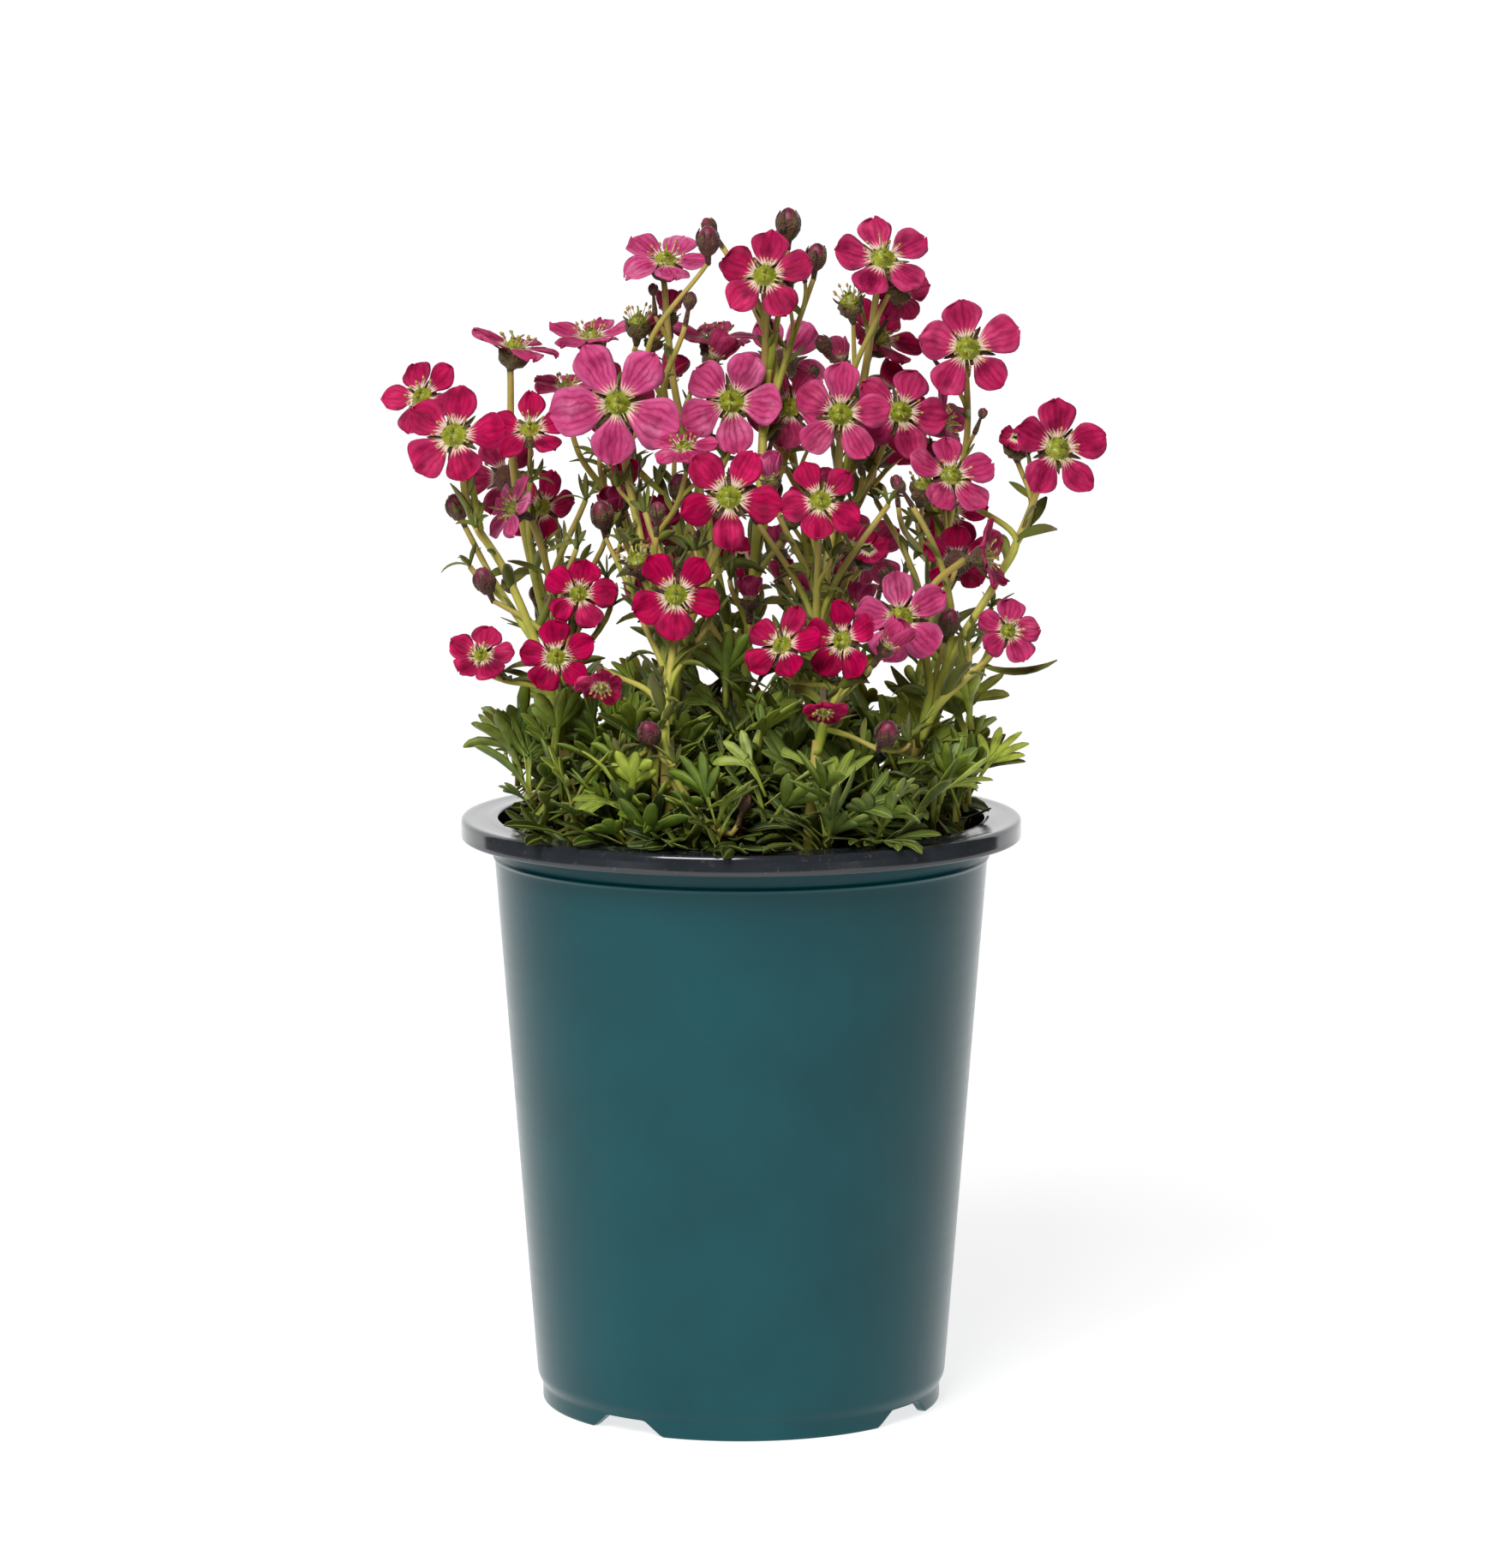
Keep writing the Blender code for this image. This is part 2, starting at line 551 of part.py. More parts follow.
def plan_stems(shoots, centres, clouds):
    """A path for each head: main stems from the shoots, then branches, then branches of branches."""
    by_name = {head.name: index for index, head in enumerate(HEADS)}
    paths = {}
    still = []
    left = list(range(len(HEADS)))
    while left:
        ready = [index for index in left if not HEADS[index].host or by_name[HEADS[index].host] in paths]
        ready_paths = []
        for index in ready:
            head = HEADS[index]
            facing = head_frame(head)[2]
            end = centres[index] + STEM_END * facing
            if head.host:
                start, lean = branch_start(paths[by_name[head.host]], end)
                count = BUD_STALK_POINTS if head.cup is None else BRANCH_POINTS
            else:
                _, soil_line, start = shoot_axis(shoots[head.shoot])
                lean = unit(start - soil_line)
                count = STEM_POINTS
            length = np.linalg.norm(end - start)
            first = start + STEM_RISE * length * lean
            second = end - NECK_BEND * length * facing - np.array((0.0, 0.0, NECK_DROP * length))
            ready_paths.append(bezier(start, first, second, end, count))
        for count in sorted({len(path) for path in ready_paths}):
            group = [k for k, path in enumerate(ready_paths) if len(path) == count]
            blooms_of = [bloom_obstacles(ready[k], centres, clouds) for k in group]
            shoots_of = [HEADS[ready[k]].shoot for k in group]
            settled = settle_paths([ready_paths[k] for k in group], shoots_of, blooms_of, still)
            for k, path in zip(group, settled):
                paths[ready[k]] = path
                still.append((HEADS[ready[k]].shoot, spread_weights(count) @ path))
        left = [index for index in left if index not in paths]
    return [paths[index] for index in range(len(HEADS))]


def skin(rings):
    """Faces over rings of 5, 10 or 1 points; a 10-ring doubles its 5-ring neighbour."""
    faces = []
    start = 0
    faces.append(tuple(reversed(range(len(rings[0])))))
    for near, far in zip(rings, rings[1:]):
        next_start = start + len(near)
        for index in range(STEM_SIDES if len(near) != len(far) else len(near)):
            after = index + 1
            if len(near) == len(far):
                a, b = start + index, start + after % len(near)
                c, d = next_start + after % len(far), next_start + index
                faces += [(a, b, c), (a, c, d)]
            elif len(far) == 1:
                faces.append((start + index, start + after % len(near), next_start))
            elif len(far) == 2 * len(near):
                a, b = start + index, start + after % len(near)
                tip, root, last = (next_start + (2 * index + step) % len(far) for step in range(3))
                faces += [(a, root, tip), (a, b, root), (b, last, root)]
            else:
                a, b = next_start + index, next_start + after % len(far)
                tip, root, last = (start + (2 * index + step) % len(near) for step in range(3))
                faces += [(a, tip, root), (a, root, b), (b, root, last)]
        start = next_start
    return faces


def stem_rings(head, centre, path, radius):
    """Five-sided rings up the stem, kept in line with the head's petals."""
    facing = head_frame(head)[2]
    between = (np.arange(STEM_SIDES) + 0.5) * 360 / STEM_SIDES
    spokes = (from_head(head, centre, between, 1.0, 0.0) - centre)
    rings = []
    for index in range(len(path) - 1, -1, -1):
        ahead = path[min(index + 1, len(path) - 1)] - path[max(index - 1, 0)]
        along = unit(ahead) if index < len(path) - 1 else unit(ahead + np.linalg.norm(ahead) * facing)
        spokes = spokes - np.outer(spokes @ along, along)
        spokes = spokes / np.linalg.norm(spokes, axis=1)[:, None]
        share = index / (len(path) - 1)
        rings.append(path[index] + radius * (1.15 - 0.3 * share) * spokes)
    return rings[::-1]


def stem_solid(head, centre, path):
    """A stem with its calyx, five sepals and the ovary, or with a closed bud."""
    radius = BRANCH_RADIUS if head.host else STEM_RADIUS
    rings = stem_rings(head, centre, path, radius)
    between = (np.arange(PETALS) + 0.5) * 360 / PETALS
    if head.cup is None:
        size = head.radius * MM
        rings.append(from_head(head, centre, between, size, 0.8 * size))
        rings.append(from_head(head, centre, [0.0], 0.0, 2.9 * size))
        return np.vstack(rings), skin(rings)
    star = np.empty((2 * PETALS, 3))
    star[0::2] = from_head(head, centre, between, SEPAL_TIP, SEPAL_FACE)
    star[1::2] = from_head(head, centre, between + 180 / PETALS, SEPAL_ROOT, SEPAL_FACE)
    rings[-1] = from_head(head, centre, between, CUP_RADIUS, STEM_END)
    rings.append(star)
    rings.append(from_head(head, centre, between, OVARY_RADIUS, SEPAL_FACE))
    rings.append(from_head(head, centre, [0.0], 0.0, OVARY_TIP))
    return np.vstack(rings), skin(rings)


def shoot_axis(shoot):
    """Foot, soil line and tip of a shoot that leans outwards."""
    root = shoot - np.array((0.0, 0.0, HOLE_DEPTH - 1.0 * MM))
    tip = shoot + np.array((SHOOT_LEAN * shoot[0], SHOOT_LEAN * shoot[1], SHOOT_HEIGHT))
    return root, shoot, tip


def shoot_solid(shoot):
    """The shoot's own stem: a root plug and a slim leaning spindle."""
    root, soil_line, tip = shoot_axis(shoot)
    spokes = np.array([on_circle(1.0, 360 * index / STEM_SIDES, 0.0) for index in range(STEM_SIDES)])
    collar = soil_line + np.array((0.0, 0.0, 3.0 * MM))
    rings = [
        root + ROOT_RADIUS * spokes,
        collar + SHOOT_RADIUS * spokes,
        tip + SHOOT_TIP_RADIUS * spokes,
        (tip + np.array((0.0, 0.0, 4.0 * MM)))[None, :],
    ]
    return np.vstack(rings), skin(rings)


def leaf_sheet(base, azimuth, lift, twist, length, spread):
    """A leaf with three fingers, arching over from its base, its blade twisted about its midrib."""
    outward = on_circle(1.0, azimuth, 0.0)
    rise = math.radians(lift)
    roll = math.radians(twist)
    upward = math.cos(rise) * np.array((0.0, 0.0, 1.0)) - math.sin(rise) * outward
    across = math.cos(roll) * on_circle(1.0, azimuth + 90, 0.0) + math.sin(roll) * upward

    def place(along, side):
        """A point along the midrib and out to its side, in metres."""
        share = along / length
        height = along * math.sin(rise) - LEAF_DROOP * length * share**2
        return base + along * math.cos(rise) * outward + side * across + np.array((0.0, 0.0, height))

    palm = LEAF_STALK * length
    fork = (1.0 - LEAF_FINGER) * length
    points = [
        place(0.0, -LEAF_THICKNESS),
        place(0.0, LEAF_THICKNESS),
        place(palm, -LEAF_PALM_WIDTH / 2),
        place(palm, LEAF_PALM_WIDTH / 2),
        place(fork, -LEAF_FORK_WIDTH / 2),
        place(fork, LEAF_FORK_WIDTH / 2),
        place(0.88 * length, -spread),
        place(0.88 * length, spread),
        place(length, 0.0),
    ]
    faces = [(0, 2, 1), (1, 2, 3), (2, 4, 3), (3, 4, 5), (2, 6, 4), (3, 5, 7), (4, 8, 5)]
    return np.array(points), faces


def bract_sheet(base, outward, length):
    """A linear leaf on a stem, curving up to its tip."""
    across = unit(np.cross(outward, (0.0, 0.0, 1.0)))
    up = np.array((0.0, 0.0, 1.0))
    points = [
        base - 0.35 * BRACT_WIDTH * across,
        base + 0.35 * BRACT_WIDTH * across,
        base + 0.5 * length * outward + 0.12 * length * up - 0.5 * BRACT_WIDTH * across,
        base + 0.5 * length * outward + 0.12 * length * up + 0.5 * BRACT_WIDTH * across,
        base + 0.85 * length * outward + 0.5 * length * up,
    ]
    return np.array(points), [(0, 1, 2), (1, 3, 2), (2, 3, 4)]


def is_clear(points, faces, tree, room):
    """Whether a sheet keeps its room to everything in the tree."""
    if tree.overlap(BVHTree.FromPolygons([tuple(point) for point in points], faces)):
        return False
    samples = []
    for face in faces:
        corners = [points[corner] for corner in face]
        samples += corners
        samples.append(sum(corners) / len(corners))
        samples += [(corners[k] + corners[k - 1]) / 2 for k in range(len(corners))]
    return all(tree.find_nearest(tuple(sample), room)[0] is None for sample in samples)


def join_tree(sheets):
    """One search tree over many meshes."""
    points, faces = [], []
    for sheet_points, sheet_faces in sheets:
        start = len(points)
        points += [tuple(point) for point in sheet_points]
        faces += [tuple(start + corner for corner in face) for face in sheet_faces]
    return BVHTree.FromPolygons(points, faces)


def evaluated(thing):
    """Points and faces of an object as its modifiers leave it."""
    graph = bpy.context.evaluated_depsgraph_get()
    mesh = thing.evaluated_get(graph).to_mesh()
    points = [tuple(thing.matrix_world @ corner.co) for corner in mesh.vertices]
    return points, [tuple(face.vertices) for face in mesh.polygons]


def shoot_leaves(number, shoot, tree, own_stems, draw):
    """Leaves spiral up a shoot; each is turned or shortened until it is clear."""
    _, soil_line, tip = shoot_axis(shoot)
    leaves = []
    for index in range(LEAVES):
        share = (index + 0.5) / LEAVES
        base = soil_line + (0.22 + 0.78 * share) * (tip - soil_line)
        azimuth = GOLDEN_ANGLE * index + 77.0 * number + draw.uniform(-12, 12)
        lift = 18 + 52 * share + draw.uniform(-7, 7)
        twist = draw.uniform(-55, 55)
        length = (1.0 - 0.25 * share) * LEAF_LENGTH * draw.uniform(0.9, 1.1)
        spread = LEAF_SPREAD * draw.uniform(0.8, 1.1)
        own_tree = join_tree(own_stems + [(points, faces[LEAF_STALK_FACES:]) for points, faces in leaves])
        for turn, scale in LEAF_TRIES:
            points, faces = leaf_sheet(base, azimuth + turn, lift, twist, scale * length, scale * spread)
            if not is_clear(points, faces, tree, LEAF_CLEAR):
                continue
            if is_clear(points, faces[LEAF_STALK_FACES:], own_tree, OWN_CLEAR):
                leaves.append((points, faces))
                break
    return leaves


def stem_bract(path, tree, draw):
    """A linear leaf part way up a stem, pointing to a side that is clear."""
    base = path[1] + 0.7 * (path[2] - path[1])
    start = draw.uniform(0, 360)
    for step in range(8):
        outward = on_circle(1.0, start + 45 * step, 0.0)
        sheet = bract_sheet(base, outward, BRACT_LENGTH * draw.uniform(0.85, 1.15))
        if is_clear(*sheet, tree, LEAF_CLEAR):
            return [sheet]
    return []


def merge_seams(mesh):
    """Merges the flat seams that a union leaves; returns whether the mesh is closed."""
    work = bmesh.new()
    work.from_mesh(mesh)
    bmesh.ops.dissolve_limit(work, angle_limit=math.radians(SEAM_ANGLE), verts=work.verts, edges=work.edges)
    bmesh.ops.triangulate(work, faces=work.faces)
    closed = all(len(edge.link_faces) == 2 for edge in work.edges)
    work.to_mesh(mesh)
    work.free()
    return closed


def fuse(name, solids, sheets, collection):
    """Joins solids and thickened sheets into one body."""
    pieces = new_collection(name + "_pieces")
    for points, faces in solids:
        close_outward(add_object(name + "_piece", points, faces, pieces))
    for points, faces in sheets:
        blade = add_object(name + "_blade", points, faces, pieces)
        thicken = blade.modifiers.new("thicken", "SOLIDIFY")
        thicken.thickness = LEAF_THICKNESS
        thicken.offset = 0.0
    whole = pieces.objects[0]
    pieces.objects.unlink(whole)
    whole.name = name
    collection.objects.link(whole)
    union = boolean(whole, "UNION", pieces)
    for solver in ("EXACT", "MANIFOLD"):
        union.solver = solver
        graph = bpy.context.evaluated_depsgraph_get()
        joined = bpy.data.meshes.new_from_object(whole.evaluated_get(graph))
        if merge_seams(joined):
            break
    whole.modifiers.clear()
    whole.data = joined
    for piece in list(pieces.objects):
        bpy.data.objects.remove(piece)
    bpy.data.collections.remove(pieces)
    whole.data.materials.clear()
    whole.data.materials.append(material("shoot"))
    return whole


def make_bloom(head, centre, collection):
    """The petals of one open flower."""
    points, faces = bloom_sheet(head, centre)
    bloom = add_object("bloom_" + head.name, points, faces, collection)
    thicken = bloom.modifiers.new("thicken", "SOLIDIFY")
    thicken.thickness = PETAL_THICKNESS
    thicken.offset = 1.0
    bloom.data.materials.append(material("bloom_pink" if head.pink > 0.5 else "bloom_magenta"))
    return points, faces


def main():
    """Builds the pot, the soil, the blooms and the leafy shoots that carry them."""
    for old in list(bpy.data.objects):
        bpy.data.objects.remove(old)
    plant = new_collection("potted_saxifrage")
    shoots = shoot_places()
    pot = make_pot(plant)
    soil = make_soil(plant, shoots)

    centres, clouds = settle_heads()
    paths = plan_stems(shoots, centres, clouds)
    petals = [make_bloom(head, centre, plant) for head, centre in zip(HEADS, centres) if head.cup is not None]
    stems = [stem_solid(head, centre, path) for head, centre, path in zip(HEADS, centres, paths)]

    around = [evaluated(pot), evaluated(soil)] + petals
    draw = np.random.default_rng(SEED)
    cores = [shoot_solid(shoot) for shoot in shoots]
    leaves = [[] for _ in shoots]
    for number in reversed(range(len(shoots))):
        others = [stems[k] for k, head in enumerate(HEADS) if head.shoot != number]
        others += [cores[k] for k in range(len(shoots)) if k != number]
        others += [leaf for k in range(len(shoots)) if k != number for leaf in leaves[k]]
        tree = join_tree(around + others)
        own_stems = [stems[k] for k, head in enumerate(HEADS) if head.shoot == number]
        leaves[number] = shoot_leaves(number, shoots[number], tree, own_stems, draw)
        for k, head in enumerate(HEADS):
            if head.shoot == number and not head.host and k % BRACT_EVERY == 0:
                leaves[number] += stem_bract(paths[k], tree, draw)
    for number in range(len(shoots)):
        own = [stems[k] for k, head in enumerate(HEADS) if head.shoot == number]
        fuse(f"shoot_{number:02d}", [cores[number]] + own, leaves[number], plant)


main()
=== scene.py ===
import math
from collections import namedtuple
from itertools import combinations

import bpy
import numpy as np
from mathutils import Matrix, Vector


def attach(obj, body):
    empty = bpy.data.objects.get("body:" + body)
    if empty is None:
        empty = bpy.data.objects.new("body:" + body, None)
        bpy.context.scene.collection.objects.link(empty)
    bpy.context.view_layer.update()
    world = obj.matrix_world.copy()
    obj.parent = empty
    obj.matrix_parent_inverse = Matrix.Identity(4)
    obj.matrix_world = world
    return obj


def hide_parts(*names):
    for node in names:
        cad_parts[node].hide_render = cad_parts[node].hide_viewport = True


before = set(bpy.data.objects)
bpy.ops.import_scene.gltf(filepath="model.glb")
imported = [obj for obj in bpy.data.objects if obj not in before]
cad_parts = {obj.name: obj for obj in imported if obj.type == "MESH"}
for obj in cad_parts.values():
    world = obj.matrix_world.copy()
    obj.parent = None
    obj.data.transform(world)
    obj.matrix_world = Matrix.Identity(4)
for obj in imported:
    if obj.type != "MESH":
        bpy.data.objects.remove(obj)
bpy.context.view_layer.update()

# The pot: one moulded cup of thin plastic, teal outside, its rim and inside dark slate. The
# flat rim turns down into a lip, a bead under it stops stacked pots from jamming, and four
# notches in the foot ring let water out from under the drain holes.
MM = 0.001
POT_AROUND = 320
PLASTIC = 1.4
RIM_RADIUS = 60.0
RIM_TOP = 127.0
LIP_FOOT = 122.6
WALL_TOP_RADIUS = 53.5
WALL_FOOT_RADIUS = 44.1
WALL_FOOT = 5.7
FOOT_RADIUS = 43.0
FOOT_WIDTH = 2.0
FOOT_SLOPE_FOOT = 3.6
FLOOR_UNDERSIDE = 3.9
BEAD_HEIGHT = 118.6
BEAD_WIDTH = 1.2
BEAD_DEPTH = 0.5
NOTCH_TURN = -35.0
NOTCH_HEIGHT = 3.2
NOTCH_TOP = 9.8
NOTCH_FOOT = 18.0
DRAIN_RADIUS = 3.5
DRAIN_CIRCLE = 29.0
POLE = 0.2
DRAINS = 4
PUNCH = (-3.0, 4.0)
RIM_EDGE = 3.0
RIM_DISH = 0.25
MOUTH_ROLL = 1.2
MOUTH_DEPTH = 3.0
FILLET_STEPS = 4
SUPPORT = 0.8

Grids = namedtuple("Grids", "points uv tint ring finish")


def build_piece(name, grids, finishes):
    """One smooth mesh from batches of equal grids of points (count, rows, columns, 3).

    Each quad joins neighbouring rows and columns. Where the rows are rings, the last column
    joins the first, and the first and the last ring are capped.
    """
    points, uv, tint, corners, sizes, marks = [], [], [], [], [], []
    start = 0
    for grid in grids:
        shape = grid.points.shape[:3]
        points.append(grid.points.reshape(-1, 3) * MM)
        uv.append(np.broadcast_to(grid.uv, (*shape, 2)).reshape(-1, 2))
        tint.append(np.broadcast_to(np.reshape(grid.tint, (-1, 1, 1)), shape).ravel())
        index = start + np.arange(math.prod(shape)).reshape(shape)
        start += index.size
        here, ahead = (index, np.roll(index, -1, axis=2)) if grid.ring else (index[..., :-1], index[..., 1:])
        quads = np.stack((here[:, :-1], ahead[:, :-1], ahead[:, 1:], here[:, 1:]), axis=-1)
        caps = [np.concatenate((index[:, 0, ::-1], index[:, -1]))] if grid.ring else []
        for group in [quads.reshape(-1, 4), *caps]:
            corners.append(group.ravel())
            sizes.append(np.full(len(group), group.shape[1]))
            marks.append(np.full(len(group), grid.finish))
    corners, sizes = np.concatenate(corners), np.concatenate(sizes)
    mesh = bpy.data.meshes.new(name)
    mesh.vertices.add(start)
    mesh.vertices.foreach_set("co", np.concatenate(points).ravel())
    mesh.loops.add(len(corners))
    mesh.loops.foreach_set("vertex_index", corners)
    mesh.polygons.add(len(sizes))
    mesh.polygons.foreach_set("loop_start", np.cumsum(sizes) - sizes)
    mesh.polygons.foreach_set("material_index", np.concatenate(marks))
    mesh.polygons.foreach_set("use_smooth", np.ones(len(sizes), bool))
    mesh.update(calc_edges=True)
    mesh.uv_layers.new(name="along").data.foreach_set("uv", np.concatenate(uv)[corners].ravel())
    mesh.attributes.new("tint", "FLOAT", "POINT").data.foreach_set("value", np.concatenate(tint))
    for finish in finishes:
        mesh.materials.append(finish)
    piece = bpy.data.objects.new(name, mesh)
    bpy.context.scene.collection.objects.link(piece)
    return piece


def chart(rows, columns):
    """UV of a grid: across its columns, then along its rows, each from 0 to 1."""
    along, across = np.meshgrid(np.linspace(0, 1, rows), np.linspace(0, 1, columns), indexing="ij")
    return np.stack((across, along), axis=-1)


def srgb(red, green, blue):
    """The linear colour of a red, green and blue from 0 to 255."""
    share = np.array((red, green, blue)) / 255
    linear = np.where(share <= 0.04045, share / 12.92, ((share + 0.055) / 1.055) ** 2.4)
    return (*linear.tolist(), 1.0)


def new_finish(name, **constants):
    """A Principled material with constants on its sockets; returns it and its node tree."""
    made = bpy.data.materials.new(name)
    made.use_nodes = True
    for socket, value in constants.items():
        made.node_tree.nodes["Principled BSDF"].inputs[socket.replace("_", " ")].default_value = value
    return made, made.node_tree


def fed(tree, socket, value):
    """Links a value to a socket of the tree's Principled shader."""
    tree.links.new(value, tree.nodes["Principled BSDF"].inputs[socket])


def add_node(tree, kind, inputs, **settings):
    """A shader node whose inputs are constants or the sockets that feed them."""
    made = tree.nodes.new("ShaderNode" + kind)
    for key, value in settings.items():
        setattr(made, key, value)
    for key, value in inputs.items():
        if isinstance(value, bpy.types.NodeSocket):
            tree.links.new(value, made.inputs[key])
        else:
            made.inputs[key].default_value = value
    return made


def blended(tree, share, first, second):
    """The colour between first and second, by share."""
    return add_node(tree, "Mix", {0: share, 6: first, 7: second}, data_type="RGBA").outputs[2]


def worked(tree, operation, *values):
    """The result of a sum on sockets and numbers."""
    return add_node(tree, "Math", dict(enumerate(values)), operation=operation).outputs[0]


def ramped(tree, value, low, high):
    """0 where the value is low, 1 where it is high, and straight between."""
    return add_node(tree, "MapRange", {"Value": value, "From Min": low, "From Max": high}).outputs[0]


def washed(tree, colour, wash, mask, low, high, most=1.0):
    """The colour with a wash over it: none where the mask is low, and `most` of it where it is high."""
    return blended(tree, worked(tree, "MULTIPLY", ramped(tree, mask, low, high), most), colour, wash)


def grain(tree, scale, detail=2.0, stretch=(1, 1, 1)):
    """Noise in the object's own space: scale in spots per metre, stretched by axis."""
    place = add_node(tree, "TexCoord", {}).outputs["Object"]
    stretched = add_node(tree, "Mapping", {"Vector": place, "Scale": stretch}).outputs[0]
    return add_node(tree, "TexNoise", {"Vector": stretched, "Scale": scale, "Detail": detail}).outputs[0]


def raised(tree, height, strength, distance):
    """Feeds a height through a bump to the shader's normal; the distance is in millimetres."""
    bump = add_node(tree, "Bump", {"Height": height, "Strength": strength, "Distance": distance * MM})
    fed(tree, "Normal", bump.outputs[0])


def wall_radius(height):
    """Outer radius of the pot's sloping wall."""
    share = (height - WALL_FOOT) / (RIM_TOP - WALL_FOOT)
    return WALL_FOOT_RADIUS + share * (WALL_TOP_RADIUS - WALL_FOOT_RADIUS)


def turned_profile(corners):
    """Points along (radius, height, fillet) corners.

    Each corner is a quadratic curve that cuts it off at the fillet's length, and a long straight
    has a supporting point near each end.
    """
    corners = np.array(corners, float)
    places, fillets = corners[:, :2], corners[:, 2]
    points = [places[:1]]
    share = np.linspace(0, 1, FILLET_STEPS)[:, None]
    for index in range(1, len(places) - 1):
        before, here, after = places[index - 1:index + 2]
        back = (before - here) / np.linalg.norm(before - here)
        on = (after - here) / np.linalg.norm(after - here)
        fillet = fillets[index]
        start, end = here + fillet * back, here + fillet * on
        if np.linalg.norm(before - here) > 4 * SUPPORT:
            points.append((start + SUPPORT * back)[None])
        points.append((1 - share) ** 2 * start + 2 * share * (1 - share) * here + share**2 * end)
        if np.linalg.norm(after - here) > 4 * SUPPORT:
            points.append((end + SUPPORT * on)[None])
    return np.vstack(points + [places[-1:]])


def turned(profile, around):
    """A profile of (radius, height) points turned about the Z axis into one ring a row."""
    turn = np.linspace(0, 2 * np.pi, around, endpoint=False)
    radius = profile[:, :1]
    height = np.broadcast_to(profile[:, 1:], (len(profile), around))
    return np.stack((radius * np.cos(turn), radius * np.sin(turn), height), axis=-1)


def notched(points):
    """The foot ring squeezed up over each notch, which opens it to the floor.

    A height becomes rise + height * (top - rise) / top, where rise falls straight from the
    notch's height to 0 between its top and foot widths.
    """
    turn = np.degrees(np.arctan2(points[..., 1], points[..., 0])) - NOTCH_TURN
    off = np.radians(np.abs((turn + 45) % 90 - 45)) * FOOT_RADIUS
    rise = NOTCH_HEIGHT * np.clip((NOTCH_FOOT / 2 - off) / ((NOTCH_FOOT - NOTCH_TOP) / 2), 0, 1)
    height = points[..., 2]
    lifted = rise + height * (FOOT_SLOPE_FOOT - rise) / FOOT_SLOPE_FOOT
    squeezed = points.copy()
    squeezed[..., 2] = np.where(height < FOOT_SLOPE_FOOT, lifted, height)
    return squeezed


def cut_drains(pot):
    """Cuts the round drain holes through the floor."""
    rod = turned(np.array([(DRAIN_RADIUS, FLOOR_UNDERSIDE + end) for end in PUNCH]), 32)
    for index in range(DRAINS):
        turn = math.radians(NOTCH_TURN + 360 / DRAINS * (index + 0.5))
        place = DRAIN_CIRCLE * np.array((math.cos(turn), math.sin(turn), 0))
        punch = build_piece("punch", [Grids((rod + place)[None], np.zeros(2), 0, True, 0)], [])
        cut = pot.modifiers.new("drain", "BOOLEAN")
        cut.operation = "DIFFERENCE"
        cut.object = punch
        graph = bpy.context.evaluated_depsgraph_get()
        mesh = bpy.data.meshes.new_from_object(pot.evaluated_get(graph), preserve_all_data_layers=True,
                                               depsgraph=graph)
        pot.modifiers.clear()
        pot.data = mesh
        bpy.data.objects.remove(punch)


teal, tree = new_finish("pot_teal", Roughness=0.3, Specular_IOR_Level=0.27)
mottle = grain(tree, 45, 3)
fed(tree, "Base Color", blended(tree, ramped(tree, mottle, 0.3, 0.7), srgb(0, 68, 75), srgb(0, 75, 82)))
scuff = grain(tree, 500, 3, (0.12, 0.12, 1))
fed(tree, "Roughness", worked(tree, "MULTIPLY_ADD", scuff, 0.10, 0.16))
raised(tree, worked(tree, "ADD", scuff, worked(tree, "MULTIPLY", mottle, 2.0)), 0.12, 0.05)

slate, tree = new_finish("pot_slate", Roughness=0.2, Specular_IOR_Level=0.7)
mottle = grain(tree, 60, 3)
colour = blended(tree, ramped(tree, mottle, 0.35, 0.7), srgb(32, 36, 41), srgb(44, 48, 54))
colour = washed(tree, colour, srgb(96, 92, 88), grain(tree, 900, 4), 0.62, 0.72, 0.35)
fed(tree, "Base Color", colour)
fed(tree, "Roughness", worked(tree, "MULTIPLY_ADD", mottle, 0.12, 0.06))
raised(tree, mottle, 0.15, 0.05)

outside = turned_profile((
    (POLE, FLOOR_UNDERSIDE, 0),
    (FOOT_RADIUS - FOOT_WIDTH, FLOOR_UNDERSIDE, 0.15),
    (FOOT_RADIUS - FOOT_WIDTH, 0, 0.4),
    (FOOT_RADIUS, 0, 0.5),
    (FOOT_RADIUS, FOOT_SLOPE_FOOT, 0.5),
    (WALL_FOOT_RADIUS, WALL_FOOT, 0.9),
    (wall_radius(BEAD_HEIGHT - BEAD_WIDTH / 2), BEAD_HEIGHT - BEAD_WIDTH / 2, 0.25),
    (wall_radius(BEAD_HEIGHT) + BEAD_DEPTH, BEAD_HEIGHT, 0.3),
    (wall_radius(BEAD_HEIGHT + BEAD_WIDTH / 2), BEAD_HEIGHT + BEAD_WIDTH / 2, 0.25),
    (wall_radius(RIM_TOP - PLASTIC), RIM_TOP - PLASTIC, 0.6),
    (RIM_RADIUS - PLASTIC, RIM_TOP - PLASTIC, 0),
))
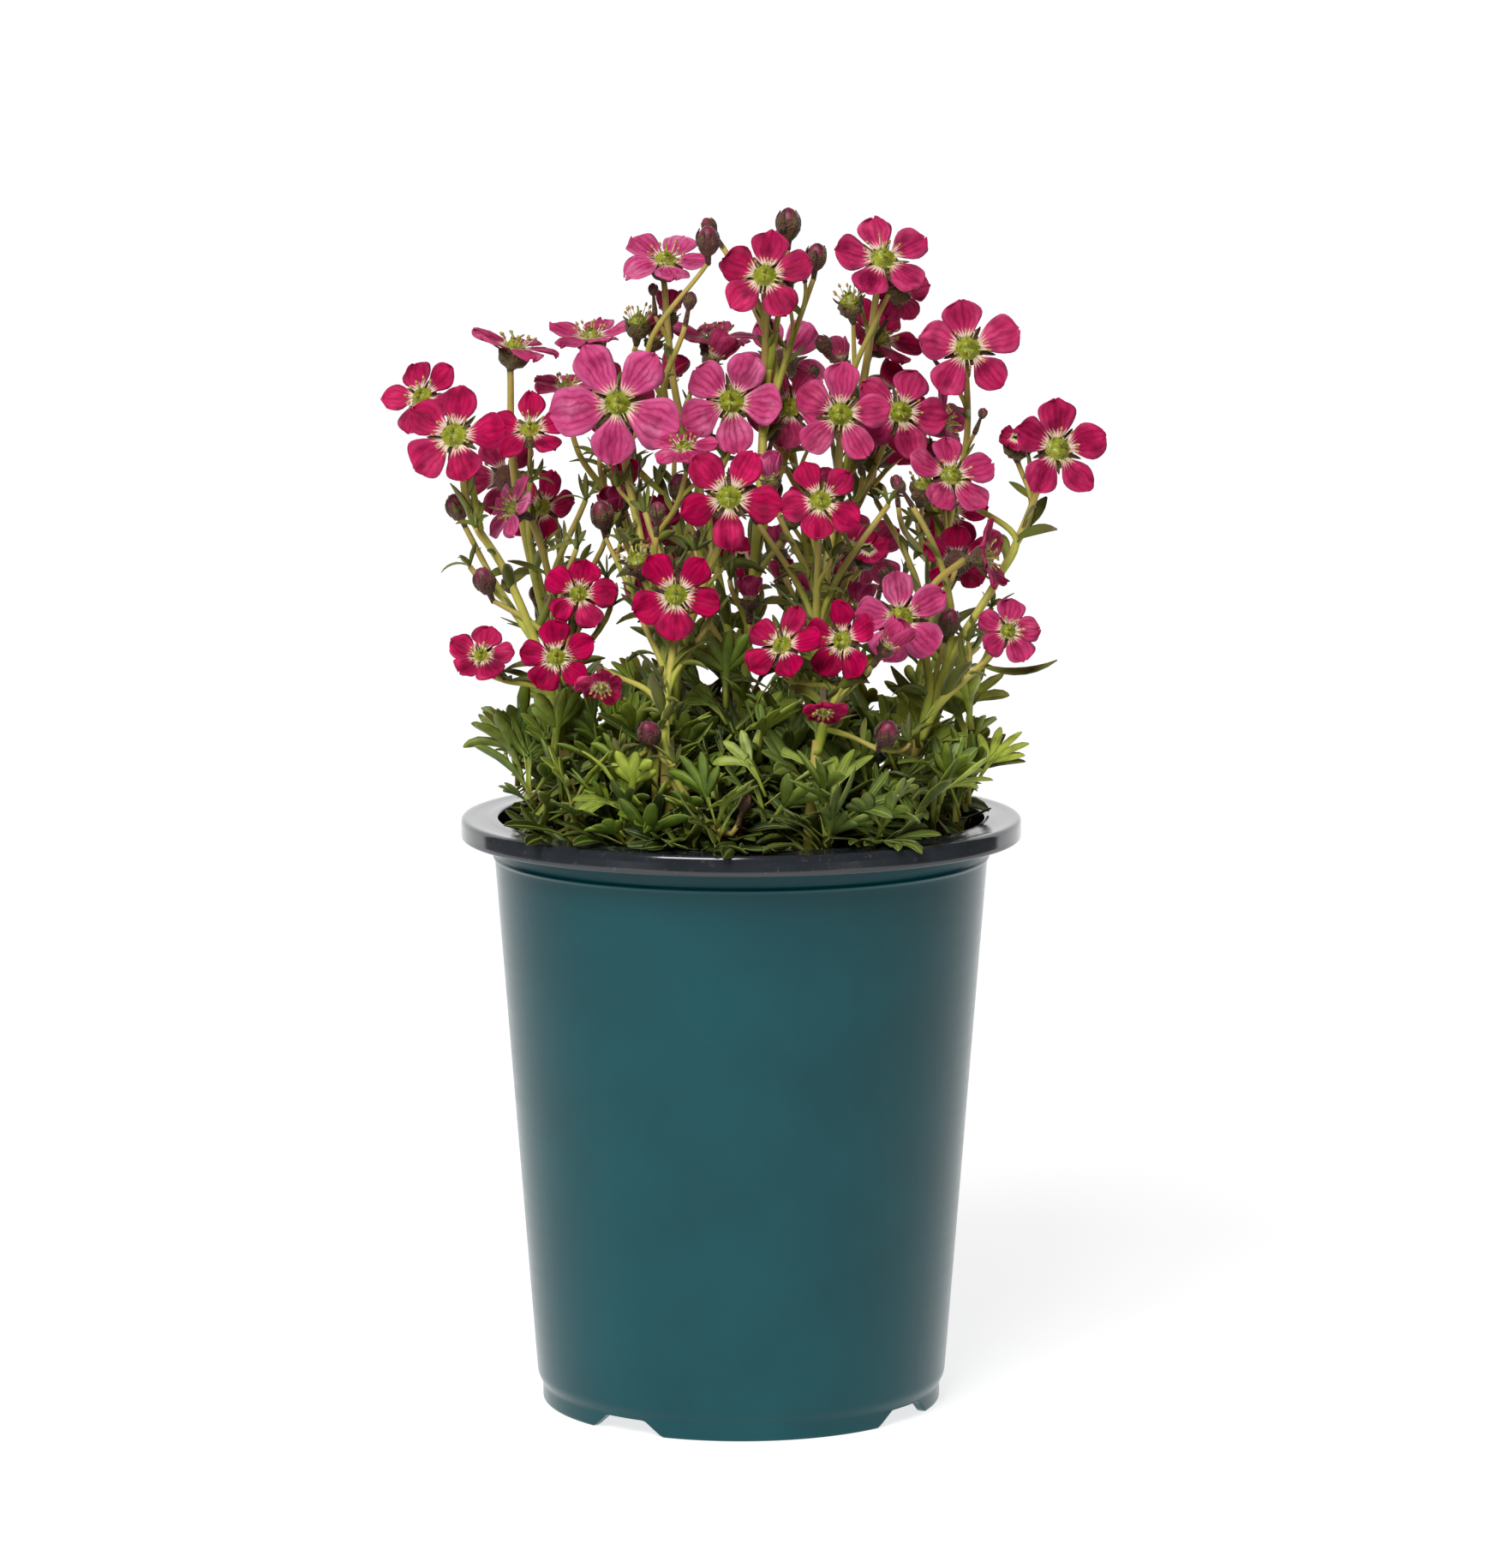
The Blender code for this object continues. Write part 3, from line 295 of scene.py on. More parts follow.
inside = turned_profile((
    (RIM_RADIUS - PLASTIC, RIM_TOP - PLASTIC, 0),
    (RIM_RADIUS - PLASTIC, LIP_FOOT, 0.5),
    (RIM_RADIUS, LIP_FOOT, 0.5),
    (RIM_RADIUS, RIM_TOP, 1.0),
    (RIM_RADIUS - RIM_EDGE, RIM_TOP - RIM_DISH, 0.8),
    (WALL_TOP_RADIUS + MOUTH_ROLL, RIM_TOP - RIM_DISH, 0.6),
    (WALL_TOP_RADIUS - PLASTIC, RIM_TOP, 0.5),
    (wall_radius(RIM_TOP - MOUTH_DEPTH) - PLASTIC, RIM_TOP - MOUTH_DEPTH, 0.6),
    (wall_radius(FLOOR_UNDERSIDE + PLASTIC) - PLASTIC, FLOOR_UNDERSIDE + PLASTIC, 1.0),
    (POLE, FLOOR_UNDERSIDE + PLASTIC, 0),
))
profile = np.vstack((outside, inside[1:]))
shell = Grids(notched(turned(profile, POT_AROUND))[None], chart(len(profile), POT_AROUND), 0, True, 0)
pot = build_piece("pot_shell", [shell], [teal, slate])
marks = np.zeros(len(pot.data.polygons), int)
marks[(len(outside) - 1) * POT_AROUND:(len(profile) - 1) * POT_AROUND] = 1
marks[-1] = 1
pot.data.polygons.foreach_set("material_index", marks)
cut_drains(pot)
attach(pot, "root")
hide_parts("pot")

# The soil: peat and bark potting mix, filled to a little under the rim. Its top is loose and
# lumpy, with crumbs lying on it between the shoots.
SOIL_TOP = 118.0
SOIL_DOME = 1.5
SOIL_AROUND = 144
SOIL_RINGS = 40
SOIL_GAP = 0.3
LUMPS = ((0.7, 3.1), (0.35, 1.3))
CRUMBS = 420
CRUMB_ROWS = 4
CRUMB_AROUND = 6


def lumps(x, y, size):
    """Uneven ground: sines of three crossing directions added, each `size` mm long."""
    first = np.sin(x / size + 1.3 * np.sin(0.7 * y / size))
    second = np.sin(0.8 * y / size + 1.9 * np.sin(0.9 * x / size))
    return (first + second + np.sin(0.9 * (x - y) / size + 0.6)) / 3


soil_finish, tree = new_finish("soil", Roughness=0.95, Specular_IOR_Level=0.2)
clods = grain(tree, 380, 5)
fed(tree, "Base Color", blended(tree, ramped(tree, clods, 0.35, 0.7), srgb(26, 20, 16), srgb(72, 54, 38)))
raised(tree, clods, 0.8, 0.8)

edge = wall_radius(SOIL_TOP) - PLASTIC - SOIL_GAP
soil_foot = FLOOR_UNDERSIDE + PLASTIC + SOIL_GAP
reach = np.linspace(edge, POLE, SOIL_RINGS)
foot = np.array(((POLE, soil_foot), (wall_radius(soil_foot) - PLASTIC - 1.0, soil_foot)))
top = np.stack((reach, SOIL_TOP + SOIL_DOME * (0.5 - (reach / edge) ** 2)), axis=-1)
ground = turned(np.vstack((foot, top)), SOIL_AROUND)
rough = sum(rise * lumps(ground[..., 0], ground[..., 1], size) for rise, size in LUMPS)
ground[2:, :, 2] += rough[2:] * (reach / edge < 0.98)[:, None]
draw = np.random.default_rng(5)
turn = draw.uniform(0, 2 * np.pi, CRUMBS)
out = (edge - 2) * np.sqrt(draw.uniform(0, 1, CRUMBS))
x, y = out * np.cos(turn), out * np.sin(turn)
sizes = draw.uniform(0.5, 1.6, (CRUMBS, 3)) * (1, 1, 0.7)
height = SOIL_TOP + SOIL_DOME * (0.5 - (out / edge) ** 2) + LUMPS[0][0] * lumps(x, y, LUMPS[0][1])
lean = np.linspace(0.35, 2.8, CRUMB_ROWS)
ball = turned(np.stack((np.sin(lean), -np.cos(lean)), axis=-1), CRUMB_AROUND)
ball = sizes[:, None, None, :] * ball * draw.uniform(0.8, 1.2, (CRUMBS, CRUMB_ROWS, CRUMB_AROUND, 1))
crumbs = np.stack((x, y, height + 0.3), axis=-1)[:, None, None, :] + ball
soil = build_piece("soil_mix", [
    Grids(ground[None], chart(len(ground), SOIL_AROUND), 0, True, 0),
    Grids(crumbs, chart(CRUMB_ROWS, CRUMB_AROUND), draw.uniform(0, 1, CRUMBS), True, 0),
], [soil_finish])
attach(soil, "root")
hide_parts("soil")

# The plan of the plant: thirteen rooted shoots, and where each flower head stands, how large
# it is and how it is turned. Heads that would touch slide apart in depth, and each stem runs
# from its shoot or its host's stem to just behind its head, bending away from the others.
SHOOT_RINGS = ((1, 0.0, 0.0), (4, 18.0, 45.0), (8, 36.0, 22.5))
SHOOT_HEIGHT = 27.0
SHOOT_LEAN = 0.14
STEM_POINTS = 5
BRANCH_POINTS = 4
BUD_STALK_POINTS = 3
STEM_RISE = 0.40
NECK_BEND = 0.14
NECK_DROP = 0.20
BRANCH_DROP = 0.42
BRANCH_RANGE = (0.2, 0.68)
STEM_END = -5.0
HUB_RING = 2.7
PETALS = 5
BLOOM_ROOM = 2.3
STEM_ROOM = 3.3
PETAL_ROOM = 3.0
SETTLE_ROUNDS = 90
PAIR_REACH = 12.0
STALK_CLOUD = (-3, -6, -9)
PETAL_CLOUD = ((0.35, 0.2), (0.65, 0.4), (0.85, 0.3), (1.0, 0.19))
BUD_CLOUD = ((0.8, 0.3), (1.0, 1.2), (0.6, 2.2))
SETTLE_STEP = 0.3
SETTLED = 0.02
DENSITY = 4

# Heads in the order in which they are settled. An open bloom has a cup from 0 (flat) to 1
# (steep); a bud, closed or spent head has none. A head with a host branches off its host's
# stem. Turn 0 faces the front, lift is how far the face looks up, and roll turns the petals.
Head = namedtuple("Head", "name shoot host x y z radius turn lift roll cup pink")
HEADS = [Head(*row) for row in (
    ("left_outer", 9, "", -60, -20, 210, 11.6, -15, 15, 11, 0.15, 0.10),
    ("left_outer_back", 9, "left_outer", -67.5, -4, 217, 9.1, -25, 30, 40, 0.2, 0.12),
    ("left_cup", 8, "", -48.5, 12, 226.5, 10.4, 60, 78, 0, 0.6, 0.45),
    ("left_inner", 8, "left_cup", -45, 2, 209.5, 9.1, 0, 45, 0, 0.2, 0.05),
    ("left_top_cup", 2, "", -32.5, 22, 228, 9.6, -10, 76, 0, 0.55, 0.60),
    ("left_low_cup", 2, "left_top_cup", -37.5, 18, 217.5, 8.3, 10, 75, 20, 0.5, 0.60),
    ("large_pale", 3, "", -26, -12, 216, 14.0, 0, 5, 41, 0.12, 1.00),
    ("top_left_cup", 0, "", -16, 0, 245.5, 10.4, 10, 60, 30, 0.4, 0.90),
    ("top_centre", 0, "", 5, -4, 242.5, 10.5, -5, 20, 5, 0.15, 0.10),
    ("top_right", 1, "", 30, -2, 246, 11.2, 10, 38, -11, 0.2, 0.25),
    ("top_nodding", 1, "top_right", 34, 5, 238, 6.5, 150, -10, 0, 0.3, 0.30),
    ("back_cup", 7, "", -5.5, 24, 227.5, 10.7, 0, 80, 0, 0.5, 0.50),
    ("centre_pale", 0, "top_left_cup", -2, 2, 215.5, 11.3, -8, 10, 26, 0.15, 0.85),
    ("centre_back", 0, "top_centre", 10.5, 12, 213.5, 9.5, -10, 15, 33, 0.15, 0.45),
    ("centre_right", 4, "", 21, -8, 213.5, 10.8, -2, 10, 9, 0.15, 0.50),
    ("right_inner", 1, "top_right", 34, 6, 213, 10.6, 12, 12, 20, 0.15, 0.30),
    ("right_side", 1, "top_right", 30, 9, 228, 10.0, 50, 45, -20, 0.3, 0.10),
    ("right_top", 5, "", 48, -2, 227, 11.2, 5, 8, -6, 0.15, 0.25),
    ("right_edge_on", 5, "right_top", 44, 21, 210, 8.3, 75, 20, 10, 0.35, 0.65),
    ("right_outer", 12, "", 67, -6, 206, 11.2, 20, 15, 5, 0.15, 0.15),
    ("right_mid", 12, "right_outer", 44.5, -6, 200.5, 9.8, 20, 30, 5, 0.2, 0.50),
    ("right_low_side", 12, "", 52, -13, 184, 7.6, 75, 10, 0, 0.35, 0.30),
    ("right_low_back", 12, "right_low_side", 46, -3, 182, 8.2, 175, 15, 0, 0.3, 0.05),
    ("right_low_pale", 11, "", 33.5, -26, 172, 10.7, 5, 8, -11, 0.12, 0.90),
    ("right_low_cup", 12, "", 56, -22, 169, 7.2, 15, 20, 15, 0.45, 0.40),
    ("front_right", 11, "", 21, -36, 168.5, 8.9, -30, 10, -5, 0.2, 0.00),
    ("front_right_inner", 11, "front_right", 8.5, -39, 168, 8.9, -25, 30, 10, 0.2, 0.00),
    ("front_hanging", 11, "front_right", 17, -40, 155, 4.8, 0, -50, 0, 0.3, 0.10),
    ("front_centre", 10, "", -13.5, -34, 178, 10.1, -5, 5, 35, 0.12, 0.00),
    ("front_left_hanging", 10, "front_centre", -29, -36, 159.5, 5.7, 5, -45, 0, 0.3, 0.15),
    ("front_left", 9, "", -34, -24, 177, 7.9, 5, 18, 14, 0.3, 0.05),
    ("front_left_low", 9, "front_left", -38.5, -33, 164.5, 8.2, 0, 15, -7, 0.15, 0.00),
    ("front_left_outer", 9, "front_left", -54.5, -23, 164, 6.8, -5, 35, 10, 0.3, 0.10),
    ("mid_bright", 3, "", -2.5, -32, 198, 11.0, 0, 6, 33, 0.12, 0.05),
    ("mid_left_cup", 3, "large_pale", -12, -18, 207.5, 7.5, -20, 65, 0, 0.4, 0.50),
    ("mid_right", 4, "", 16.5, -32, 197.5, 9.4, 2, 18, 45, 0.15, 0.10),
    ("left_spent_pale", 8, "", -48.5, -8, 193.5, 7.6, -60, 25, 0, 0.4, 0.90),
    ("left_behind", 8, "", -43, 24, 191, 8.5, -30, 20, 10, 0.2, 0.10),
    ("right_behind", 5, "", 45, 26, 190, 9.0, 20, 20, 20, 0.2, 0.10),
    ("rear_left", 7, "back_cup", -28, 44, 212, 10.5, 165, 25, 10, 0.15, 0.20),
    ("rear_centre", 6, "", 9, 48, 221, 11.0, 185, 20, 30, 0.15, 0.80),
    ("rear_right", 6, "rear_centre", 38, 38, 206, 10.5, 150, 25, 0, 0.2, 0.15),
    ("rear_far_left", 8, "", -52, 33, 197, 10.0, 215, 20, 25, 0.15, 0.30),
    ("rear_low_left", 7, "", -9, 50, 181, 10.0, 190, 15, 0, 0.15, 0.00),
    ("rear_low_right", 6, "", 27, 50, 178, 9.5, 170, 20, 15, 0.2, 0.60),
    ("bud_top", 0, "top_centre", 10, 3, 253, 2.6, 0, 80, 0, None, 0.4),
    ("bud_top_low", 0, "top_centre", 16, 6, 246, 2.2, 20, 70, 0, None, 0.0),
    ("bud_top_left", 0, "top_left_cup", -7, -6, 250, 2.4, 0, 70, 0, None, 0.2),
    ("spent_left", 2, "left_top_cup", -22, 13, 232, 2.8, 20, 75, 0, None, 0.5),
    ("spent_top_right", 1, "top_right", 23, 8, 237, 2.8, -30, 70, 0, None, 0.9),
    ("half_open_right", 12, "right_outer", 59, 4, 207, 3.6, 0, 60, 0, None, 0.2),
    ("bud_left", 9, "left_outer", -60, -10, 194, 2.3, -40, 60, 0, None, 0.2),
    ("bud_left_low", 9, "front_left", -54, -16, 179, 2.3, -40, 60, 0, None, 0.2),
    ("bud_inner_left", 3, "large_pale", -29.5, -6, 192, 2.4, -20, 70, 0, None, 0.0),
    ("spent_inner_left", 3, "mid_bright", -22, -20, 184, 2.6, -30, 60, 0, None, 0.3),
    ("bud_middle", 0, "top_left_cup", -13, 5, 197, 2.4, -30, 70, 0, None, 0.1),
    ("bud_front_left", 10, "front_centre", -19, -43, 150, 2.4, -20, 50, 0, None, 0.7),
    ("bud_front_right", 11, "front_right", 30, -42, 150, 2.4, 30, 50, 0, None, 0.1),
    ("spent_right", 5, "right_behind", 39, 4, 198, 2.6, 10, 60, 0, None, 0.1),
    ("bud_right_low", 12, "right_low_side", 44, -14, 170, 2.3, 20, 60, 0, None, 0.2),
    ("closed_right_back", 1, "right_inner", 31, 20, 203, 4.0, 30, 50, 0, None, 0.1),
    ("closed_right_low", 1, "top_right", 27, 8, 183, 4.2, 20, 50, 0, None, 0.1),
    ("closed_left", 2, "left_top_cup", -18, 8, 190, 4.2, 0, 50, 0, None, 0.2),
    ("closed_centre", 0, "top_centre", 0, 9, 181, 4.2, -10, 40, 0, None, 0.0),
)]


def unit(vector):
    """The vector at length 1."""
    return vector / np.linalg.norm(vector, axis=-1, keepdims=True)


def head_frame(head):
    """Right, up and facing directions of a head, as seen from in front of it."""
    turn, lift = math.radians(head.turn), math.radians(head.lift)
    out = math.cos(lift)
    facing = np.array((math.sin(turn) * out, -math.cos(turn) * out, math.sin(lift)))
    up = unit(np.array((0.0, 0.0, 1.0)) - facing[2] * facing)
    return np.cross(up, facing), up, facing


def petal_lift(radius, cup, out):
    """How far a petal has risen at a distance out from the flower's axis.

    Past the hub it is cup * past^2 / (radius - hub), and a tenth of cup * past more.
    """
    past = out - HUB_RING
    return cup * past**2 / (radius - HUB_RING) + 0.1 * cup * past


def petal_row(head, centre, index, out, half_width):
    """Two points across petal number index, at a distance from the axis."""
    right, up, facing = head_frame(head)
    turn = math.radians(head.roll + 360 * index / PETALS)
    along = math.cos(turn) * up + math.sin(turn) * right
    across = math.cos(turn) * right - math.sin(turn) * up
    offsets = np.array((-half_width, half_width))[:, None]
    return centre + out * along + offsets * across + petal_lift(head.radius, head.cup, out) * facing


def bud_ring(head, centre, radius, height):
    """Six points round a bud, out from its axis and along it."""
    right, up, facing = head_frame(head)
    turn = np.radians(np.arange(6) * 60.0 + head.roll)[:, None]
    return centre + radius * (np.cos(turn) * up + np.sin(turn) * right) + height * facing


def bezier(start, first, second, end, count):
    """Points along a cubic curve."""
    share = np.linspace(0.0, 1.0, count)[:, None]
    back = 1.0 - share
    return back**3 * start + 3 * back**2 * share * first + 3 * back * share**2 * second + share**3 * end


def head_cloud(head, centre):
    """Points over a head's petals, or its bud, and the stalk just behind it."""
    rows = [centre + np.outer(STALK_CLOUD, head_frame(head)[2])]
    if head.cup is None:
        for share, height in BUD_CLOUD:
            rows.append(bud_ring(head, centre, share * head.radius, height * head.radius))
        return np.vstack(rows)
    for index in range(PETALS):
        for out, half_width in PETAL_CLOUD:
            rows.append(petal_row(head, centre, index, out * head.radius, half_width * head.radius))
            rows.append(petal_row(head, centre, index, out * head.radius, 0.0)[:1])
    return np.vstack(rows)


def nearest(points, others):
    """For each point: which other point is nearest, and how far off it is."""
    distance = np.linalg.norm(points[:, None, :] - others[None, :, :], axis=2)
    pick = distance.argmin(axis=1)
    return pick, distance[np.arange(len(points)), pick]


def gap(points, others):
    """The least distance between two sets of points."""
    return nearest(points, others)[1].min()


def settle_heads():
    """Head centres: heads that would touch slide apart in depth."""
    centres = [np.array((head.x, head.y, head.z), float) for head in HEADS]
    clouds = [head_cloud(head, centre) for head, centre in zip(HEADS, centres)]
    pairs = [(first, second) for first, second in combinations(range(len(HEADS)), 2)
             if np.linalg.norm(centres[first] - centres[second])
             < HEADS[first].radius + HEADS[second].radius + PAIR_REACH]
    for _ in range(SETTLE_ROUNDS):
        moved = False
        for first, second in pairs:
            if gap(clouds[first], clouds[second]) >= BLOOM_ROOM:
                continue
            moved = True
            way = 1.0 if centres[first][1] >= centres[second][1] else -1.0
            for which, sign in ((first, way), (second, -way)):
                step = np.array((0.0, sign * SETTLE_STEP, 0.0))
                centres[which] = centres[which] + step
                clouds[which] = clouds[which] + step
        if not moved:
            break
    return centres, clouds


def spread_weights(count):
    """Weights that read DENSITY times as many points off a path of count points."""
    share = np.linspace(0.0, count - 1.0, DENSITY * count)
    return np.maximum(0.0, 1.0 - abs(share[:, None] - np.arange(count)[None, :]))


def settle_paths(paths, shoots_of, blooms_of, still):
    """Bends paths away from other shoots' stems and from blooms' centres; ends stay."""
    weights = spread_weights(len(paths[0]))
    for _ in range(SETTLE_ROUNDS):
        dense = [weights @ path for path in paths]
        moved = False
        for index, path in enumerate(paths):
            push = np.zeros_like(dense[index])
            stems = [dense[other] for other in range(len(paths)) if shoots_of[other] != shoots_of[index]]
            stems += [line for shoot, line in still if shoot != shoots_of[index]]
            obstacles = [(*blooms_of[index], PETAL_ROOM)]
            if stems:
                obstacles.append((np.vstack(stems), np.vstack(stems), STEM_ROOM))
            for near, pushed_from, room in obstacles:
                pick, distance = nearest(dense[index], near)
                away = dense[index] - pushed_from[pick]
                short = np.maximum(0.0, room - distance) / np.maximum(np.linalg.norm(away, axis=1), SETTLED)
                push += 0.5 * short[:, None] * away
            shift = weights.T @ push
            shift[[0, -1]] = 0.0
            if abs(shift).max() > SETTLED:
                moved = True
            paths[index] = path + shift
        if not moved:
            break
    return paths


def bloom_obstacles(own, centres, clouds):
    """What a head's stem keeps clear of: every head's points, with each point's head centre."""
    parts = [cloud[len(STALK_CLOUD):] if index == own else cloud for index, cloud in enumerate(clouds)]
    middles = [np.repeat(centre[None, :], len(part), axis=0) for centre, part in zip(centres, parts)]
    return np.vstack(parts), np.vstack(middles)


def branch_start(host, end):
    """Where a branch that ends at a height leaves its host's path, and which way it sets off."""
    rise = (end[2] - host[0][2]) / (host[-1][2] - host[0][2])
    place = np.clip(rise - BRANCH_DROP, *BRANCH_RANGE) * (len(host) - 1)
    base = int(place)
    step = host[base + 1] - host[base]
    return host[base] + (place - base) * step, unit(step)


def shoot_tip(shoot):
    """Tip of a shoot that leans outwards."""
    return shoot + np.array((SHOOT_LEAN * shoot[0], SHOOT_LEAN * shoot[1], SHOOT_HEIGHT))


def plan_stems(shoots, centres, clouds):
    """A path for each head: main stems from the shoots, then branches, then branches of branches."""
    by_name = {head.name: index for index, head in enumerate(HEADS)}
    paths, still = {}, []
    left = list(range(len(HEADS)))
    while left:
        ready = [index for index in left if not HEADS[index].host or by_name[HEADS[index].host] in paths]
        ready_paths = []
        for index in ready:
            head = HEADS[index]
            facing = head_frame(head)[2]
            end = centres[index] + STEM_END * facing
            if head.host:
                start, lean = branch_start(paths[by_name[head.host]], end)
                count = BUD_STALK_POINTS if head.cup is None else BRANCH_POINTS
            else:
                start = shoot_tip(shoots[head.shoot])
                lean = unit(start - shoots[head.shoot])
                count = STEM_POINTS
            length = np.linalg.norm(end - start)
            first = start + STEM_RISE * length * lean
            second = end - NECK_BEND * length * facing - np.array((0.0, 0.0, NECK_DROP * length))
            ready_paths.append(bezier(start, first, second, end, count))
        for count in sorted({len(path) for path in ready_paths}):
            group = [k for k, path in enumerate(ready_paths) if len(path) == count]
            blooms_of = [bloom_obstacles(ready[k], centres, clouds) for k in group]
            shoots_of = [HEADS[ready[k]].shoot for k in group]
            settled = settle_paths([ready_paths[k] for k in group], shoots_of, blooms_of, still)
            for k, path in zip(group, settled):
                paths[ready[k]] = path
                still.append((HEADS[ready[k]].shoot, spread_weights(count) @ path))
        left = [index for index in left if index not in paths]
    return [paths[index] for index in range(len(HEADS))]


shoots = []
for count, radius, first in SHOOT_RINGS:
    turn = np.radians(first + 360 * np.arange(count) / count)
    shoots.append(np.stack((radius * np.cos(turn), radius * np.sin(turn), np.full(count, SOIL_TOP)), axis=-1))
shoots = np.vstack(shoots)
centres, clouds = settle_heads()
paths = plan_stems(shoots, centres, clouds)
centres = np.array(centres)
frames = np.array([head_frame(head) for head in HEADS])

# The stems: round, juicy, somewhat under 2 mm thick, each growing from its shoot or forking off
# a stem. Yellow green, turning tan towards the flower, under a fine down that dulls them.
STEM_ROWS = 26
STEM_AROUND = 8
STEM_RADIUS = 0.85
BRANCH_RADIUS = 0.62
SHOOT_FOOT = 11.0


def smooth_line(path, count):
    """Points evenly along a Catmull-Rom curve through the path's points, whose ends run straight on."""
    path = np.vstack((2 * path[0] - path[1], path, 2 * path[-1] - path[-2]))
    place = np.linspace(0, len(path) - 3, count)
    base = np.minimum(place.astype(int), len(path) - 4)
    t = (place - base)[:, None]
    a, b, c, d = (path[base + step] for step in range(4))
    return 0.5 * (2 * b + (c - a) * t + (2 * a - 5 * b + 4 * c - d) * t**2 + (3 * b - a - 3 * c + d) * t**3)


def tubes(lines, radii, around):
    """Round tubes: rings of points about lines (count, rows, 3), square to them, with a radius for each.

    Each ring starts on the side that faces the axis which its line runs along least.
    """
    along = unit(np.gradient(lines, axis=1))
    least = np.abs(along).max(axis=1).argmin(axis=1)
    side = unit(np.cross(np.eye(3)[least][:, None, :], along))
    up = np.cross(along, side)
    turn = np.linspace(0, 2 * np.pi, around, endpoint=False)[:, None]
    spokes = np.cos(turn) * side[:, :, None, :] + np.sin(turn) * up[:, :, None, :]
    return lines[:, :, None, :] + np.broadcast_to(radii, lines.shape[:2])[:, :, None, None] * spokes


def surface(tree):
    """Sockets that say how far across and along its grid a point lies, and the point's tint."""
    place = add_node(tree, "SeparateXYZ", {0: add_node(tree, "UVMap", {}, uv_map="along").outputs[0]})
    return *place.outputs[:2], add_node(tree, "Attribute", {}, attribute_name="tint").outputs["Fac"]


stem_green, tree = new_finish("stem_green", Roughness=0.55, Specular_IOR_Level=0.35, Sheen_Weight=0.15,
                              Sheen_Roughness=0.5, Subsurface_Weight=0.12, Subsurface_Scale=0.002)
_, along, tint = surface(tree)
colour = blended(tree, tint, srgb(168, 178, 52), srgb(200, 200, 82))
colour = washed(tree, colour, srgb(184, 158, 82), along, 0.15, 0.75, 0.85)
colour = washed(tree, colour, srgb(112, 122, 46), grain(tree, 260, 3), 0.45, 0.75, 0.35)
fed(tree, "Base Color", colour)
raised(tree, grain(tree, 1600, 2, (1, 1, 0.25)), 0.35, 0.15)

draw = np.random.default_rng(21)
lines = np.array([smooth_line(path, STEM_ROWS) for path in paths])
share = np.linspace(0, 1, STEM_ROWS)
hosted = np.array([bool(head.host) for head in HEADS])
thickness = np.where(hosted, BRANCH_RADIUS, STEM_RADIUS) * draw.uniform(0.92, 1.12, len(HEADS))
swell = 0.05 * np.sin(9 * share + draw.uniform(0, 6, (len(HEADS), 1)))
stem_tubes = tubes(lines, thickness[:, None] * (1.15 - 0.32 * share + swell), STEM_AROUND)
stem_tint = draw.uniform(0, 1, len(HEADS))

# The side stalks: thin ones that turn up from the stems, short among the flowers and long near
# the leaves, to a bud, a half-open flower or, low down, a tuft of small leaves. They are drawn
# at random, fewer where the plant is thin at its left, and none touches a petal or another stem.
SIDE_STALKS = 150
SIDE_TRIES = 5000
SIDE_ROWS = 9
SIDE_RADIUS = 0.5
SIDE_ROOM = 1.5
SIDE_STATIONS = (0.3, 0.45, 0.6, 0.75, 0.9, 1.0)
SIDE_WIDTHS = (0.02, 0.12, 0.24)
SIDE_TIP = (2.5, 5.0, 7.5)
SIDE_BUD = (0.85, 1.5)
LONG_ROW = 9
LONG_REACH = (14, 40)
SHORT_REACH = (6, 13)
THIN_SIDE = -26.0
THIN_KEPT = 0.3
LOW_DOWN = 172.0
TUFT_TOP = 206.0
TUFT_SHARE = 0.8
GOBLET_SPAN = (2.0, 4.5, 7.0, 9.5)
GOBLET_ROOM = 3.5
GOBLET_FOOT = 148.0
GOBLET_BELOW = 7.0
GOBLET_FRONT = -14.0
GOBLET_SHARE = 0.7
GOBLET_CENTRE = 5.0
GOBLET_RADIUS = (4.4, 6.8)


def petal_cloud(head, centre):
    """Points one or two millimetres apart over a head's petals, row by row."""
    return np.vstack([petal_row(head, centre, index, out * head.radius, half_width * head.radius)
                      for index in range(PETALS) for out in SIDE_STATIONS for half_width in SIDE_WIDTHS])


draw = np.random.default_rng(91)
side_host = draw.integers(0, len(HEADS), SIDE_TRIES)
side_row = draw.integers(1, STEM_ROWS - 2, SIDE_TRIES)
start = lines[side_host, side_row]
along = unit(lines[side_host, side_row + 1] - start)
azimuth = draw.uniform(0, 2 * np.pi, SIDE_TRIES)
aside = np.stack((np.cos(azimuth), np.sin(azimuth), np.zeros(SIDE_TRIES)), axis=-1)
far, near = draw.uniform(*LONG_REACH, SIDE_TRIES), draw.uniform(*SHORT_REACH, SIDE_TRIES)
reach = np.where(side_row < LONG_ROW, far, near)[:, None]
facing = unit(draw.uniform(0.1, 0.8, (SIDE_TRIES, 1)) * aside + (0, 0, 1))
end = start + reach * unit(0.8 * along + 0.55 * aside + (0, 0, 0.3))
first, second = start + 0.4 * reach * along, end - 0.3 * reach * facing
side_lines = bezier(start[:, None], first[:, None], second[:, None], end[:, None], SIDE_ROWS)
petal_points = [petal_cloud(head, centre) for head, centre in zip(HEADS, centres) if head.cup is not None]
petal_points = np.vstack(petal_points + [cloud for head, cloud in zip(HEADS, clouds) if head.cup is None])
host_out = np.hypot(centres[side_host, 0], centres[side_host, 1])
inside = (end[:, 2] < centres[side_host, 2] - 1) & (np.hypot(end[:, 0], end[:, 1]) < host_out + 3)
